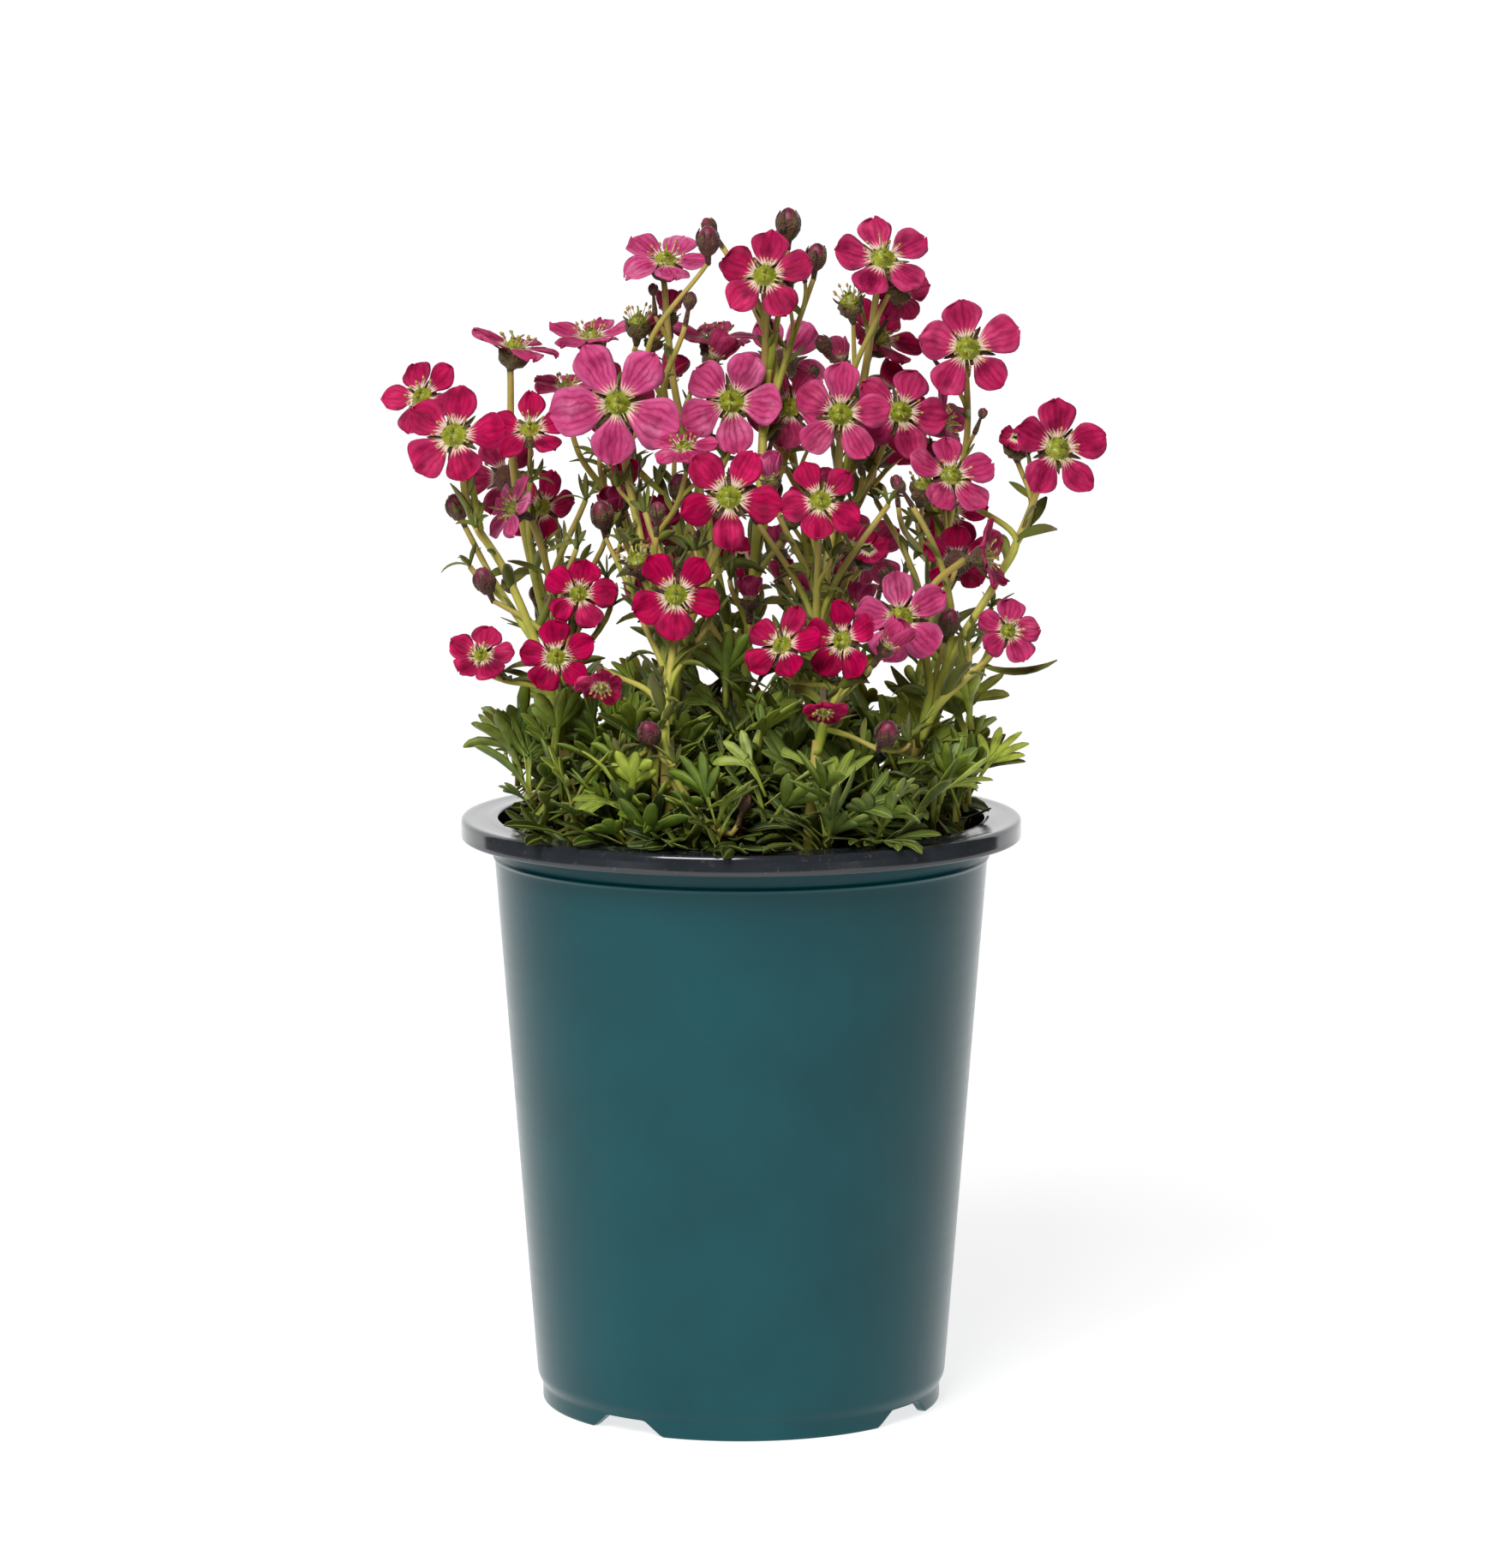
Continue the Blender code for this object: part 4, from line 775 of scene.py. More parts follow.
inside &= (end[:, 0] > THIN_SIDE) | (end[:, 2] < LOW_DOWN) | (draw.uniform(0, 1, SIDE_TRIES) < THIN_KEPT)
sides = []
for index in np.flatnonzero(inside):
    own = np.vstack((side_lines[index, 4:], end[index] + np.outer(SIDE_TIP, facing[index])))
    if gap(own, petal_points) < SIDE_ROOM + 1.2:
        continue
    if gap(own, np.delete(lines, side_host[index], axis=0).reshape(-1, 3)) < SIDE_ROOM:
        continue
    if sides and gap(own, side_lines[sides].reshape(-1, 3)) < 2 * SIDE_ROOM:
        continue
    sides.append(index)
    if len(sides) == SIDE_STALKS:
        break
side_host, side_row, side_lines, facing = side_host[sides], side_row[sides], side_lines[sides], facing[sides]
side_size = draw.uniform(*SIDE_BUD, len(sides))
ends = side_lines[:, -1]
above = ends[:, None, :] + facing[:, None, :] * np.array(GOBLET_SPAN)[:, None]
plant = np.vstack((petal_points, lines.reshape(-1, 3)))
room = np.array([gap(spots, np.vstack((plant, np.delete(side_lines, number, axis=0).reshape(-1, 3))))
                 for number, spots in enumerate(above)])
in_flower = (room > GOBLET_ROOM) & (ends[:, 2] > GOBLET_FOOT)
in_flower &= ends[:, 2] < centres[side_host, 2] - GOBLET_BELOW
in_flower &= (ends[:, 0] > THIN_SIDE) & ((ends[:, 1] > GOBLET_FRONT) | (ends[:, 2] < LOW_DOWN))
in_flower &= draw.uniform(0, 1, len(sides)) < GOBLET_SHARE
in_tuft = ~in_flower & (ends[:, 2] < TUFT_TOP) & (draw.uniform(0, 1, len(sides)) < TUFT_SHARE)
half_open, tufted, budded = (np.flatnonzero(which) for which in (in_flower, in_tuft, ~in_flower & ~in_tuft))
long_sides = np.flatnonzero(side_row < LONG_ROW)
stoutness = np.where(side_row < LONG_ROW, 1.4, 1.0)[:, None]
side_tubes = tubes(side_lines, SIDE_RADIUS * stoutness * np.linspace(1.1, 0.85, SIDE_ROWS), 6)
side_up = unit(np.array((0.0, 1e-3, 1.0)) - facing[:, 2:] * facing)
centres = np.concatenate((centres, side_lines[:, -1] + GOBLET_CENTRE * facing))
frames = np.concatenate((frames, np.stack((np.cross(side_up, facing), side_up, facing), axis=1)))

# The calyx of each flower: a dark, warty cup under the petals with five pointed sepals, which
# show between the petals, and in it the two-lobed green ovary with its two styles and ten
# cream stamens. It grows as one with its stem.
CUP_PROFILE = ((0.6, -5.6), (0.85, -4.9), (1.3, -4.5), (2.3, -4.1), (3.05, -3.3), (3.4, -2.4), (3.55, -1.5),
               (3.3, -0.8), (2.4, -0.4), (POLE, -0.5))
OVARY_PROFILE = ((2.4, -0.7), (2.5, -0.1), (2.3, 0.25), (1.9, 0.35), (1.7, 0.7), (1.5, 1.2), (1.15, 1.6),
                 (0.7, 1.8), (0.1, 1.9))
CUP_AROUND = 15
CUP_NECK_ROWS = 2
FULL_RADIUS = 10.5
SPENT_RADIUS = 9.0
SPENT_CUP = 1.2
GOBLET_SCALE = 0.56
SEPAL_ROWS = 7
SEPAL_REACH = 3.6
SEPAL_SHAPE = ((0, 0.25, 0.6, 0.9, 1), (0.7, 0.6, 0.45, 0.25, 0.08))
STYLE_SHAPE = (0.5, 0.36, 0.26, 0.2, 0.24, 0.2)
STAMENS = 10
ANTHER_SHAPE = (0.08, 0.27, 0.31, 0.25, 0.07)
BLADE = np.array(((1, 0.5), (0.55, 0.32), (0, 0.02), (-0.55, 0.32), (-1, 0.5), (-0.4, -0.2), (0.4, -0.2)))


def on_heads(local, picked):
    """Shapes (head, ..., 3) given to the right, up and out of a face, carried to the picked heads."""
    moved = np.einsum("n...k,nkj->n...j", local, frames[picked])
    return moved + centres[picked].reshape(-1, *(1,) * (local.ndim - 2), 3)


def blades(lines, widths, upward):
    """Thin channelled blades along lines (count, rows, 3), their hollow side turned to `upward`.

    The BLADE section is scaled by the half-widths and carried along each line.
    """
    along = unit(np.gradient(lines, axis=1))
    across = unit(np.cross(upward, along))
    above = np.cross(along, across)
    widths = np.broadcast_to(widths, lines.shape[:2])[:, :, None, None]
    return (lines[:, :, None, :] + widths * BLADE[:, 0, None] * across[:, :, None, :]
            + (0.5 * widths + 0.12) * BLADE[:, 1, None] * above[:, :, None, :])


def flat(grid):
    """A batch (count, group, ...) as one batch of count * group."""
    return grid.reshape(-1, *grid.shape[2:])


def per_head(values):
    """A value for each head, as (head, 1, 1, 1), to work on grids of points."""
    return values[:, None, None, None]


def ribbed_ring(profile, around, ripple, ribs):
    """A profile turned about the face's axis, its radius rippled by `ripple` in `ribs` ribs."""
    ring = turned(np.array(profile), around)
    turn = np.linspace(0, 2 * np.pi, around, endpoint=False)
    ring[..., :2] *= (1 + ripple * np.cos(ribs * turn))[None, :, None]
    return ring


def mottled(tree, scale, first, second):
    """Two colours in soft spots, so many to the metre."""
    return blended(tree, ramped(tree, grain(tree, scale, 3), 0.35, 0.7), first, second)


calyx_dark, tree = new_finish("calyx_dark", Roughness=0.6, Specular_IOR_Level=0.35, Sheen_Weight=0.15)
_, _, tint = surface(tree)
place = add_node(tree, "TexCoord", {}).outputs["Object"]
warts = add_node(tree, "TexVoronoi", {"Vector": place, "Scale": 1900.0}).outputs[0]
colour = blended(tree, tint, srgb(98, 82, 42), srgb(86, 34, 36))
fresh = worked(tree, "MULTIPLY_ADD", tint, -0.8, 1.0)
colour = washed(tree, colour, srgb(122, 116, 50), grain(tree, 520, 3), 0.5, 0.66, fresh)
fed(tree, "Base Color", washed(tree, colour, srgb(48, 26, 24), warts, 0.35, 0.1, 0.5))
raised(tree, worked(tree, "SUBTRACT", 1.0, warts), 0.9, 0.45)

ovary_green, tree = new_finish("ovary_green", Roughness=0.32, Specular_IOR_Level=0.5, Subsurface_Weight=0.15,
                               Subsurface_Scale=0.002)
fed(tree, "Base Color", mottled(tree, 700, srgb(122, 134, 26), srgb(168, 172, 52)))
raised(tree, grain(tree, 2600), 0.3, 0.1)

stamen_cream, tree = new_finish("stamen_cream", Roughness=0.5, Subsurface_Weight=0.1, Subsurface_Scale=0.001)
_, along, _ = surface(tree)
fed(tree, "Base Color", washed(tree, srgb(196, 204, 128), srgb(240, 228, 190), along, 0.0, 0.5))

anther_gold, tree = new_finish("anther_gold", Roughness=0.7)
fed(tree, "Base Color", washed(tree, srgb(206, 176, 96), srgb(150, 104, 52), grain(tree, 1500), 0.35, 0.65))

draw = np.random.default_rng(33)
is_open = np.array([head.cup is not None for head in HEADS])
is_bud = ~is_open & np.array([head.name.startswith("bud") for head in HEADS])
is_spent = ~is_open & np.array([head.name.startswith("spent") for head in HEADS])
is_closed = ~(is_bud | is_spent | is_open)
head_radii = np.array([head.radius for head in HEADS])
flowered = np.concatenate((np.flatnonzero(~is_bud), len(HEADS) + half_open))
bare_ovary = np.concatenate((np.flatnonzero(is_open | is_spent), len(HEADS) + half_open))
cups = [SPENT_CUP if head.cup is None else head.cup for head in HEADS]
cups = np.array(cups + [SPENT_CUP] * len(sides))
rolls = np.radians(np.concatenate(([head.roll for head in HEADS], draw.uniform(0, 72, len(sides)))))
head_tint = draw.uniform(0, 1, len(centres))


def petal_turns(picked, offset):
    """Angles of the five petals of each picked head, clockwise from up, turned on by an offset in pitches."""
    return rolls[picked][:, None] + (np.arange(PETALS) + offset) * 2 * np.pi / PETALS


def at_turns(turns, across, out, height):
    """Grids (head, petal, ...) of local points: out along each turn, across it clockwise, and height."""
    shape = turns.shape + (1,) * (out.ndim - 2)
    cos, sin = np.cos(turns).reshape(shape), np.sin(turns).reshape(shape)
    return np.stack(np.broadcast_arrays(out * sin + across * cos, out * cos - across * sin, height), axis=-1)


cup_ring = ribbed_ring(CUP_PROFILE, CUP_AROUND, 0.05, 5)
warty = draw.uniform(0.9, 1.1, (len(flowered), len(CUP_PROFILE), CUP_AROUND, 1))
warty *= draw.uniform(0.88, 1.08, (len(flowered), 1, 1, 1))
spans = np.clip(np.where(is_open, head_radii, SPENT_RADIUS) / FULL_RADIUS, 0.5, 1.08)
spans = np.concatenate((spans, np.full(len(sides), GOBLET_SCALE)))
span = per_head(spans[flowered])
stretch = np.where(np.arange(len(CUP_PROFILE))[:, None, None] >= CUP_NECK_ROWS, span, 1)
cup_rings = on_heads(cup_ring * np.where(np.arange(3) < 2, warty * stretch, stretch), flowered)
share = np.linspace(0, 1, SEPAL_ROWS)
turns = petal_turns(flowered, 0.5) + draw.uniform(-0.06, 0.06, (len(flowered), PETALS))
steep = cups[flowered][:, None, None]
reach = SEPAL_REACH * draw.uniform(0.9, 1.15, turns.shape)[..., None]
curl = draw.uniform(-0.9, 0.2, turns.shape)[..., None]
out = 2.0 + reach * share * (1 - 0.35 * np.minimum(steep, 1) * share)
height = -1.15 + 0.75 * share + curl * share**2 + 0.9 * steep * share**2
sepal_lines = flat(on_heads(span * at_turns(turns, 0, out, height), flowered))
sepal_up = np.repeat(frames[flowered][:, 2], PETALS, axis=0)[:, None, :]
sepals = blades(sepal_lines, np.interp(share, *SEPAL_SHAPE), sepal_up)

ovary = ribbed_ring(OVARY_PROFILE, CUP_AROUND + 1, 0.07, 2)
ovary[..., 2] -= 0.75 * (np.exp(-(ovary[..., 1] / 0.35) ** 2) * (ovary[..., 2] > 0.8))
span = per_head(spans[bare_ovary])
ovaries = on_heads(span * ovary, bare_ovary)
share = np.linspace(0, 1, len(STYLE_SHAPE))
lean = np.array((-1.0, 1.0))[None, :, None] * draw.uniform(0.8, 1.1, (len(bare_ovary), 2, 1))
bowed = lean * (0.75 + 1.1 * share**2)
style_lines = np.stack(np.broadcast_arrays(0.1 * lean, bowed, 1.7 + 1.5 * share), axis=-1)
styles = tubes(flat(on_heads(span * style_lines, bare_ovary)), STYLE_SHAPE, 6)

turns = (np.arange(STAMENS) * 2 * np.pi / STAMENS + rolls[bare_ovary][:, None]
         + draw.uniform(-0.15, 0.15, (len(bare_ovary), STAMENS)))
spread = draw.uniform(0.7, 1.9, turns.shape)[..., None]
rise = draw.uniform(1.0, 2.3, turns.shape)[..., None] + 0.5 * cups[bare_ovary][:, None, None]
stamen_lines = at_turns(turns, 0, 2.1 + spread * share, 0.2 + rise * share**0.8)
stamen_lines = flat(on_heads(span * stamen_lines, bare_ovary))
stamens = tubes(stamen_lines, np.linspace(0.16, 0.09, len(share)), 5)
anther_way = unit(stamen_lines[:, -1] - stamen_lines[:, -2])
anther_share = np.linspace(-0.3, 0.75, len(ANTHER_SHAPE))[None, :, None]
anthers = tubes(stamen_lines[:, -1:, :] + anther_share * anther_way[:, None, :], ANTHER_SHAPE, 6)

# The buds: small eggs on the stems' ends and on the side stalks, nearly black-red, their petals
# still rolled in five folds and held by a dark warty calyx whose five teeth lie along them.
BUD_AROUND = 15
BUD_NECK = ((0.55, -5.5), (0.6, -4.6))
BUD_PROFILE = ((0.32, -1.5), (0.7, -1.15), (0.98, -0.55), (1.06, 0.1), (0.98, 0.65), (0.74, 1.1), (0.44, 1.4),
               (0.1, 1.55))
TOOTH_PROFILE = ((0.98, -0.6), (1.12, -0.1), (1.12, 0.35), (1.0, 0.75), (0.8, 1.1), (0.7, 1.3))
TOOTH_SHAPE = (0.5, 0.5, 0.42, 0.3, 0.17, 0.05)
buds = np.concatenate((np.flatnonzero(is_bud), len(HEADS) + budded))
sizes = per_head(np.concatenate((0.9 * head_radii[is_bud], side_size[budded])))
turn = np.linspace(0, 2 * np.pi, BUD_AROUND, endpoint=False)
heights = np.array(BUD_PROFILE)[:, 1:]
folds = np.clip(heights, 0, 1) * np.sin(5 * turn + 2.2 * heights)
bud = turned(np.array(BUD_PROFILE), BUD_AROUND)
bud[..., :2] *= (1 + 0.06 * folds)[..., None]
bud_bodies = on_heads(bud * sizes, buds)
shell = ribbed_ring(BUD_PROFILE[:5], BUD_AROUND, 0.05, 5) * (1.07, 1.07, 1)
shells = shell * sizes * draw.uniform(0.95, 1.06, (len(buds), *shell.shape[:2], 1))
necks = np.broadcast_to(turned(np.array(BUD_NECK), BUD_AROUND), (len(buds), len(BUD_NECK), BUD_AROUND, 3))
bud_shells = on_heads(np.concatenate((necks, shells), axis=1), buds)
flare = 1 + draw.uniform(0, 0.7, (len(buds), PETALS, 1)) ** 2 * np.linspace(0, 1, len(TOOTH_PROFILE)) ** 2
teeth = np.array(TOOTH_PROFILE) * sizes * np.stack((flare, flare**-0.3), axis=-1)
tooth_lines = flat(on_heads(at_turns(petal_turns(buds, 0), 0, teeth[..., 0], teeth[..., 1]), buds))
inward = np.repeat(centres[buds], PETALS, axis=0)[:, None, :] - tooth_lines
bud_teeth = blades(tooth_lines, np.repeat(sizes[:, 0, 0], PETALS, axis=0) * TOOTH_SHAPE, inward)

# The bracts: short linear leaves that sit singly up the stems and at each fork, thick and
# channelled, bent up or down and darkening to their pointed tips.
MAIN_BRACTS = (0.2, 0.32, 0.44, 0.56, 0.68, 0.82)
BRANCH_BRACTS = (0.04, 0.32, 0.62)
BRACT_SHAPE = (0.6, 0.62, 0.84, 1.0, 1.0, 0.88, 0.58, 0.15)
BRACT_RISE = (0.4, 1.25)
BRACT_BEND = (-1.0, 1.6)
BRACT_LENGTH = (7.0, 12.5)
BRACT_WIDTH = (0.8, 1.5)
BRACT_ROOM = 1.7
TUFT_LEAVES = 6
GOLDEN_ANGLE = math.radians(137.5)

# Bracts that stand out singly: the head whose stem bears it and its height on that stem, then
# its azimuth, rise and bend in degrees, its length and its half-width.
LONE_LEAVES = (
    ("right_low_cup", 161, -12, -25, -60, 17, 1.5),
    ("bud_left_low", 172, 188, 12, -95, 13, 1.2),
    ("half_open_right", 199, 205, 62, -25, 10, 1.7),
    ("front_left_outer", 158, 165, 50, 25, 11, 1.4),
)


def arched(base, azimuth, rise, bend, length, along):
    """Points on arcs in upright planes, and the normals of their upper side.

    An arc leaves its base at the angle `rise` and turns down by `bend` over its length, so at a
    share q of it the way out is length * (sin rise - sin(rise - bend q)) / bend, and the way up
    is the same with cosines, their order changed.
    """
    angle = rise - bend * along
    out = length * (np.sin(rise) - np.sin(angle)) / bend
    up = length * (np.cos(angle) - np.cos(rise)) / bend
    cos, sin = np.broadcast_to(np.cos(azimuth), out.shape), np.broadcast_to(np.sin(azimuth), out.shape)
    normals = np.stack((-np.sin(angle) * cos, -np.sin(angle) * sin, np.cos(angle)), axis=-1)
    return base + np.stack((out * cos, out * sin, up), axis=-1), normals


bract_green, tree = new_finish("bract_green", Roughness=0.5, Specular_IOR_Level=0.4, Sheen_Weight=0.1)
_, along, tint = surface(tree)
colour = blended(tree, tint, srgb(86, 96, 28), srgb(136, 144, 50))
fed(tree, "Base Color", washed(tree, colour, srgb(86, 60, 42), along, 0.4, 1.0, 0.6))
raised(tree, grain(tree, 1400), 0.25, 0.1)

draw = np.random.default_rng(41)
places = [(index, share) for index in range(len(HEADS))
          for share in (BRANCH_BRACTS if hosted[index] else MAIN_BRACTS) if not is_bud[index] or share < 0.1]
bract_heads = np.array([index for index, _ in places])
bract_rows = np.array([int(share * (STEM_ROWS - 1)) for _, share in places])
count = len(places)
base = lines[bract_heads, bract_rows]
share = bract_rows / (STEM_ROWS - 1)
bract_heads = np.concatenate((bract_heads, side_host, side_host[long_sides], side_host[long_sides],
                              np.repeat(side_host[tufted], TUFT_LEAVES)))
base = np.concatenate((base, side_lines[:, 0], side_lines[long_sides, 3], side_lines[long_sides, 5],
                       np.repeat(side_lines[tufted, -1], TUFT_LEAVES, axis=0)))[:, None, :]
share = np.concatenate((share, np.full(len(bract_heads) - count, 0.8)))[:, None]
small = np.concatenate((hosted[bract_heads[:count]], np.ones(len(bract_heads) - count, bool)))[:, None]
in_tuft = np.arange(len(bract_heads))[:, None] >= len(bract_heads) - TUFT_LEAVES * len(tufted)
count = len(bract_heads)
azimuth = (np.arange(count) * GOLDEN_ANGLE + draw.uniform(-0.5, 0.5, count))[:, None]
rise = draw.uniform(*BRACT_RISE, (count, 1)) + 0.15 * in_tuft
bend = draw.uniform(*BRACT_BEND, (count, 1))
bend = np.where(abs(bend) < 0.1, 0.1, bend)
length = draw.uniform(*BRACT_LENGTH, (count, 1)) * (1.35 - 0.6 * share)
length *= np.where(small, 0.75, 1.0) * np.where(in_tuft, 0.85, 1.0)
wide = draw.uniform(*BRACT_WIDTH, (count, 1)) * (1.25 - 0.5 * share)
wide *= np.where(small, 0.9, 1.0) * np.where(in_tuft, 0.75, 1.0)
lone = np.array([row[1:] for row in LONE_LEAVES], float)
lone_heads = np.array([[head.name for head in HEADS].index(row[0]) for row in LONE_LEAVES])
bract_heads = np.concatenate((bract_heads, lone_heads))
lone_rows = abs(lines[lone_heads, :, 2] - lone[:, :1]).argmin(axis=1)
base = np.concatenate((base, lines[lone_heads, lone_rows][:, None, :]))
azimuth, rise, bend = (np.concatenate((drawn, np.radians(lone[:, column, None])))
                       for drawn, column in ((azimuth, 1), (rise, 2), (bend, 3)))
length, wide = np.concatenate((length, lone[:, 4:5])), np.concatenate((wide, lone[:, 5:]))
bract_along = np.linspace(0, 1, len(BRACT_SHAPE))[None, :]
bract_lines, bract_up = arched(base, azimuth, rise, bend, length, bract_along)
roll = draw.uniform(-1.1, 1.1, (len(base), 1, 1))
bract_up = np.cos(roll) * bract_up + np.sin(roll) * np.cross(unit(np.gradient(bract_lines, axis=1)), bract_up)
clear = np.array([gap(line[2:], petal_points) > BRACT_ROOM for line in bract_lines])
bract_heads = bract_heads[clear]
bracts = blades(bract_lines[clear], wide[clear] * BRACT_SHAPE, bract_up[clear])
bract_tint = draw.uniform(0, 1, len(bracts))

# Each rooted shoot as one piece: its own stem, which is hidden in the leaves, and the flower
# stems and side stalks with their bracts, calyces, ovaries, stamens and buds.
SHOOT_RADII = (2.2, 2.2, 1.9, 1.7, 1.4, 0.9)
tips = np.array([shoot_tip(shoot) for shoot in shoots])
roots = shoots - (0, 0, SHOOT_FOOT)
share = np.linspace(0, 1, len(SHOOT_RADII))[None, :, None]
cores = roots[:, None, :] * (1 - share) + (tips[:, None, :] + (0, 0, 3.0)) * share
cores = tubes(cores, SHOOT_RADII, STEM_AROUND)
bud_pink, tree = new_finish("bud_pink", Roughness=0.5, Sheen_Weight=0.2)
fed(tree, "Base Color", mottled(tree, 500, srgb(84, 16, 36), srgb(150, 40, 78)))
shoot_of = np.array([head.shoot for head in HEADS])
shoot_of = np.concatenate((shoot_of, shoot_of[side_host]))
on_petals, on_styles, on_stamens, on_teeth = (
    np.repeat(picked, times) for picked, times in ((flowered, PETALS), (bare_ovary, 2), (bare_ovary, STAMENS),
                                                   (buds, PETALS)))
batches = (
    (np.arange(len(shoots)), cores, np.zeros(len(shoots)), stem_green),
    (shoot_of[:len(HEADS)], stem_tubes, stem_tint, stem_green),
    (shoot_of[len(HEADS):], side_tubes, head_tint[len(HEADS):], stem_green),
    (shoot_of[flowered], cup_rings, head_tint[flowered], calyx_dark),
    (shoot_of[on_petals], sepals, head_tint[on_petals], calyx_dark),
    (shoot_of[buds], bud_shells, 0.5 + 0.5 * head_tint[buds], calyx_dark),
    (shoot_of[on_teeth], bud_teeth, 0.3 + 0.7 * head_tint[on_teeth], calyx_dark),
    (shoot_of[bare_ovary], ovaries, head_tint[bare_ovary], ovary_green),
    (shoot_of[on_styles], styles, head_tint[on_styles], ovary_green),
    (shoot_of[on_stamens], stamens, head_tint[on_stamens], stamen_cream),
    (shoot_of[on_stamens], anthers, head_tint[on_stamens], anther_gold),
    (shoot_of[buds], bud_bodies, head_tint[buds], bud_pink),
    (shoot_of[bract_heads], bracts, bract_tint, bract_green),
)
finishes = [stem_green, calyx_dark, ovary_green, stamen_cream, anther_gold, bud_pink, bract_green]
for number in range(len(shoots)):
    grids = [Grids(points[of == number], chart(*points.shape[1:3]), tint[of == number], True,
                   finishes.index(finish)) for of, points, tint, finish in batches]
    stems = build_piece(f"stems_{number:02d}", [grid for grid in grids if len(grid.points)], finishes)
    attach(stems, "root")
    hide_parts(f"shoot_{number:02d}")

# The petals: five thin, soft, rounded petals round each ovary, on narrow cream claws, magenta
# when fresh and paling to pink, with darker veins that fan out from the claw. Those of the
# half-open flowers overlap round a small goblet.
PETAL_ROWS = 12
PETAL_COLUMNS = 11
PETAL_THICKNESS = 0.22
CLAW_OUT = 1.9
CLAW_HALF_WIDTH = 0.06
PETAL_SWELL = 0.305
WIDEST = 0.6
TIP_ARC = 0.055
CLOSED_LENGTH = 1.9
CLOSED_CUP = 1.9
CLOSED_REACH = 0.62
SIDEWAYS = 0.35


def petal_finish(name):
    """Magenta to pink by the tint, cream at the claw, darker veins along the petal, paler edges, painted
    highlights in lighter noise patches, and darker noise patches that are partly painted shade.
    """
    made, tree = new_finish(name, Roughness=0.55, Specular_IOR_Level=0.06)
    across, along, tint = surface(tree)
    cloud = grain(tree, 230, 3)
    wobble = worked(tree, "MULTIPLY", grain(tree, 330, 2), 1.6)
    wave = worked(tree, "PINGPONG", worked(tree, "MULTIPLY_ADD", across, 6.0, wobble), 0.5)
    side = worked(tree, "MULTIPLY", worked(tree, "ABSOLUTE", worked(tree, "SUBTRACT", across, 0.5)), 2.0)
    # deep is the darker colour of the veins, and below it is also laid on as painted shade.
    deep = blended(tree, tint, srgb(80, 0, 28), srgb(136, 10, 66))
    bright = blended(tree, tint, srgb(240, 12, 104), srgb(246, 166, 204))
    colour = blended(tree, tint, srgb(180, 0, 70), srgb(218, 84, 140))
    # Painted highlights: patches of the lighter bright colour, laid on by noise.
    colour = washed(tree, colour, bright, grain(tree, 150, 3), 0.5, 0.68, 0.5)
    # Darker patches of the deep colour, laid on by noise: partly the petals' own uneven tone, partly painted
    # shade.
    colour = washed(tree, colour, deep, cloud, 0.42, 0.7, 0.75)
    veined = worked(tree, "MULTIPLY", ramped(tree, along, 0.1, 0.35), ramped(tree, along, 1.0, 0.6))
    veined = worked(tree, "MULTIPLY", veined, worked(tree, "MULTIPLY_ADD", tint, 0.3, 0.35))
    colour = washed(tree, colour, deep, wave, 0.2, 0.5, veined)
    colour = washed(tree, colour, deep, side, 0.14, 0.0, 0.4)
    edging = worked(tree, "MULTIPLY_ADD", tint, 0.45, 0.02)
    colour = washed(tree, colour, srgb(224, 120, 168), side, 0.6, 1.0, edging)
    colour = washed(tree, colour, srgb(214, 70, 122), along, 0.45, 0.15, 0.1)
    feather = worked(tree, "MULTIPLY_ADD", worked(tree, "SUBTRACT", wave, 0.25), 0.3, along)
    feather = worked(tree, "MULTIPLY_ADD", tint, 0.06, feather)
    colour = washed(tree, colour, srgb(246, 222, 202), feather, 0.25, 0.1, 0.95)
    fed(tree, "Base Color", washed(tree, colour, srgb(180, 186, 96), along, 0.1, 0.02))
    raised(tree, worked(tree, "MULTIPLY_ADD", wave, 1.5, cloud), 0.4, 0.15)
    return made


# A petal runs along t from 0 at its claw to 1 at its tip, and across s from -1 to 1. Its half-width
# swells as a sine to the widest place and rounds off beyond it as a flattened circle. Its height is
# the cup's lift, a droop that grows as t cubed, sines of s and t for the waves, and a crease.
draw = np.random.default_rng(57)
petalled = np.concatenate((np.flatnonzero(is_open | is_closed), len(HEADS) + half_open))
each = (len(petalled), PETALS, 1, 1)
claw = per_head(CLAW_OUT * spans[petalled])
goblet = petalled >= len(HEADS)
closed = np.concatenate((is_closed, np.zeros(len(sides), bool)))[petalled]
sideways = cups[petalled] > SIDEWAYS
radius = np.concatenate((head_radii, draw.uniform(*GOBLET_RADIUS, len(sides))))[petalled]
radius = per_head(radius * np.where(closed, CLOSED_LENGTH, 1.0))
cup = per_head(np.where(closed, CLOSED_CUP, cups[petalled] * np.where(sideways, 0.55, 1.0)))
droop = per_head(np.where(sideways & ~closed, 0.16, 0.02))
t = np.sin(np.pi / 2 * np.linspace(0, 1, PETAL_ROWS)[:, None]) ** 1.15
s = np.linspace(-1, 1, PETAL_COLUMNS)[None, :]
petal_uv = np.stack(np.broadcast_arrays((s + 1) / 2, t), axis=-1)
swell = np.sin(np.pi / 2 * np.minimum(t / WIDEST, 1)) ** draw.uniform(0.95, 1.5, each)
half = (CLAW_HALF_WIDTH + PETAL_SWELL * swell) * np.sqrt(1 - (np.maximum(t - WIDEST, 0) / 0.405) ** 2.35)
half = half * (1 + draw.uniform(-0.1, 0.1, each) * s
               + 0.05 * np.sin(2 * np.pi * (1.4 * t + draw.uniform(0, 1, each))))
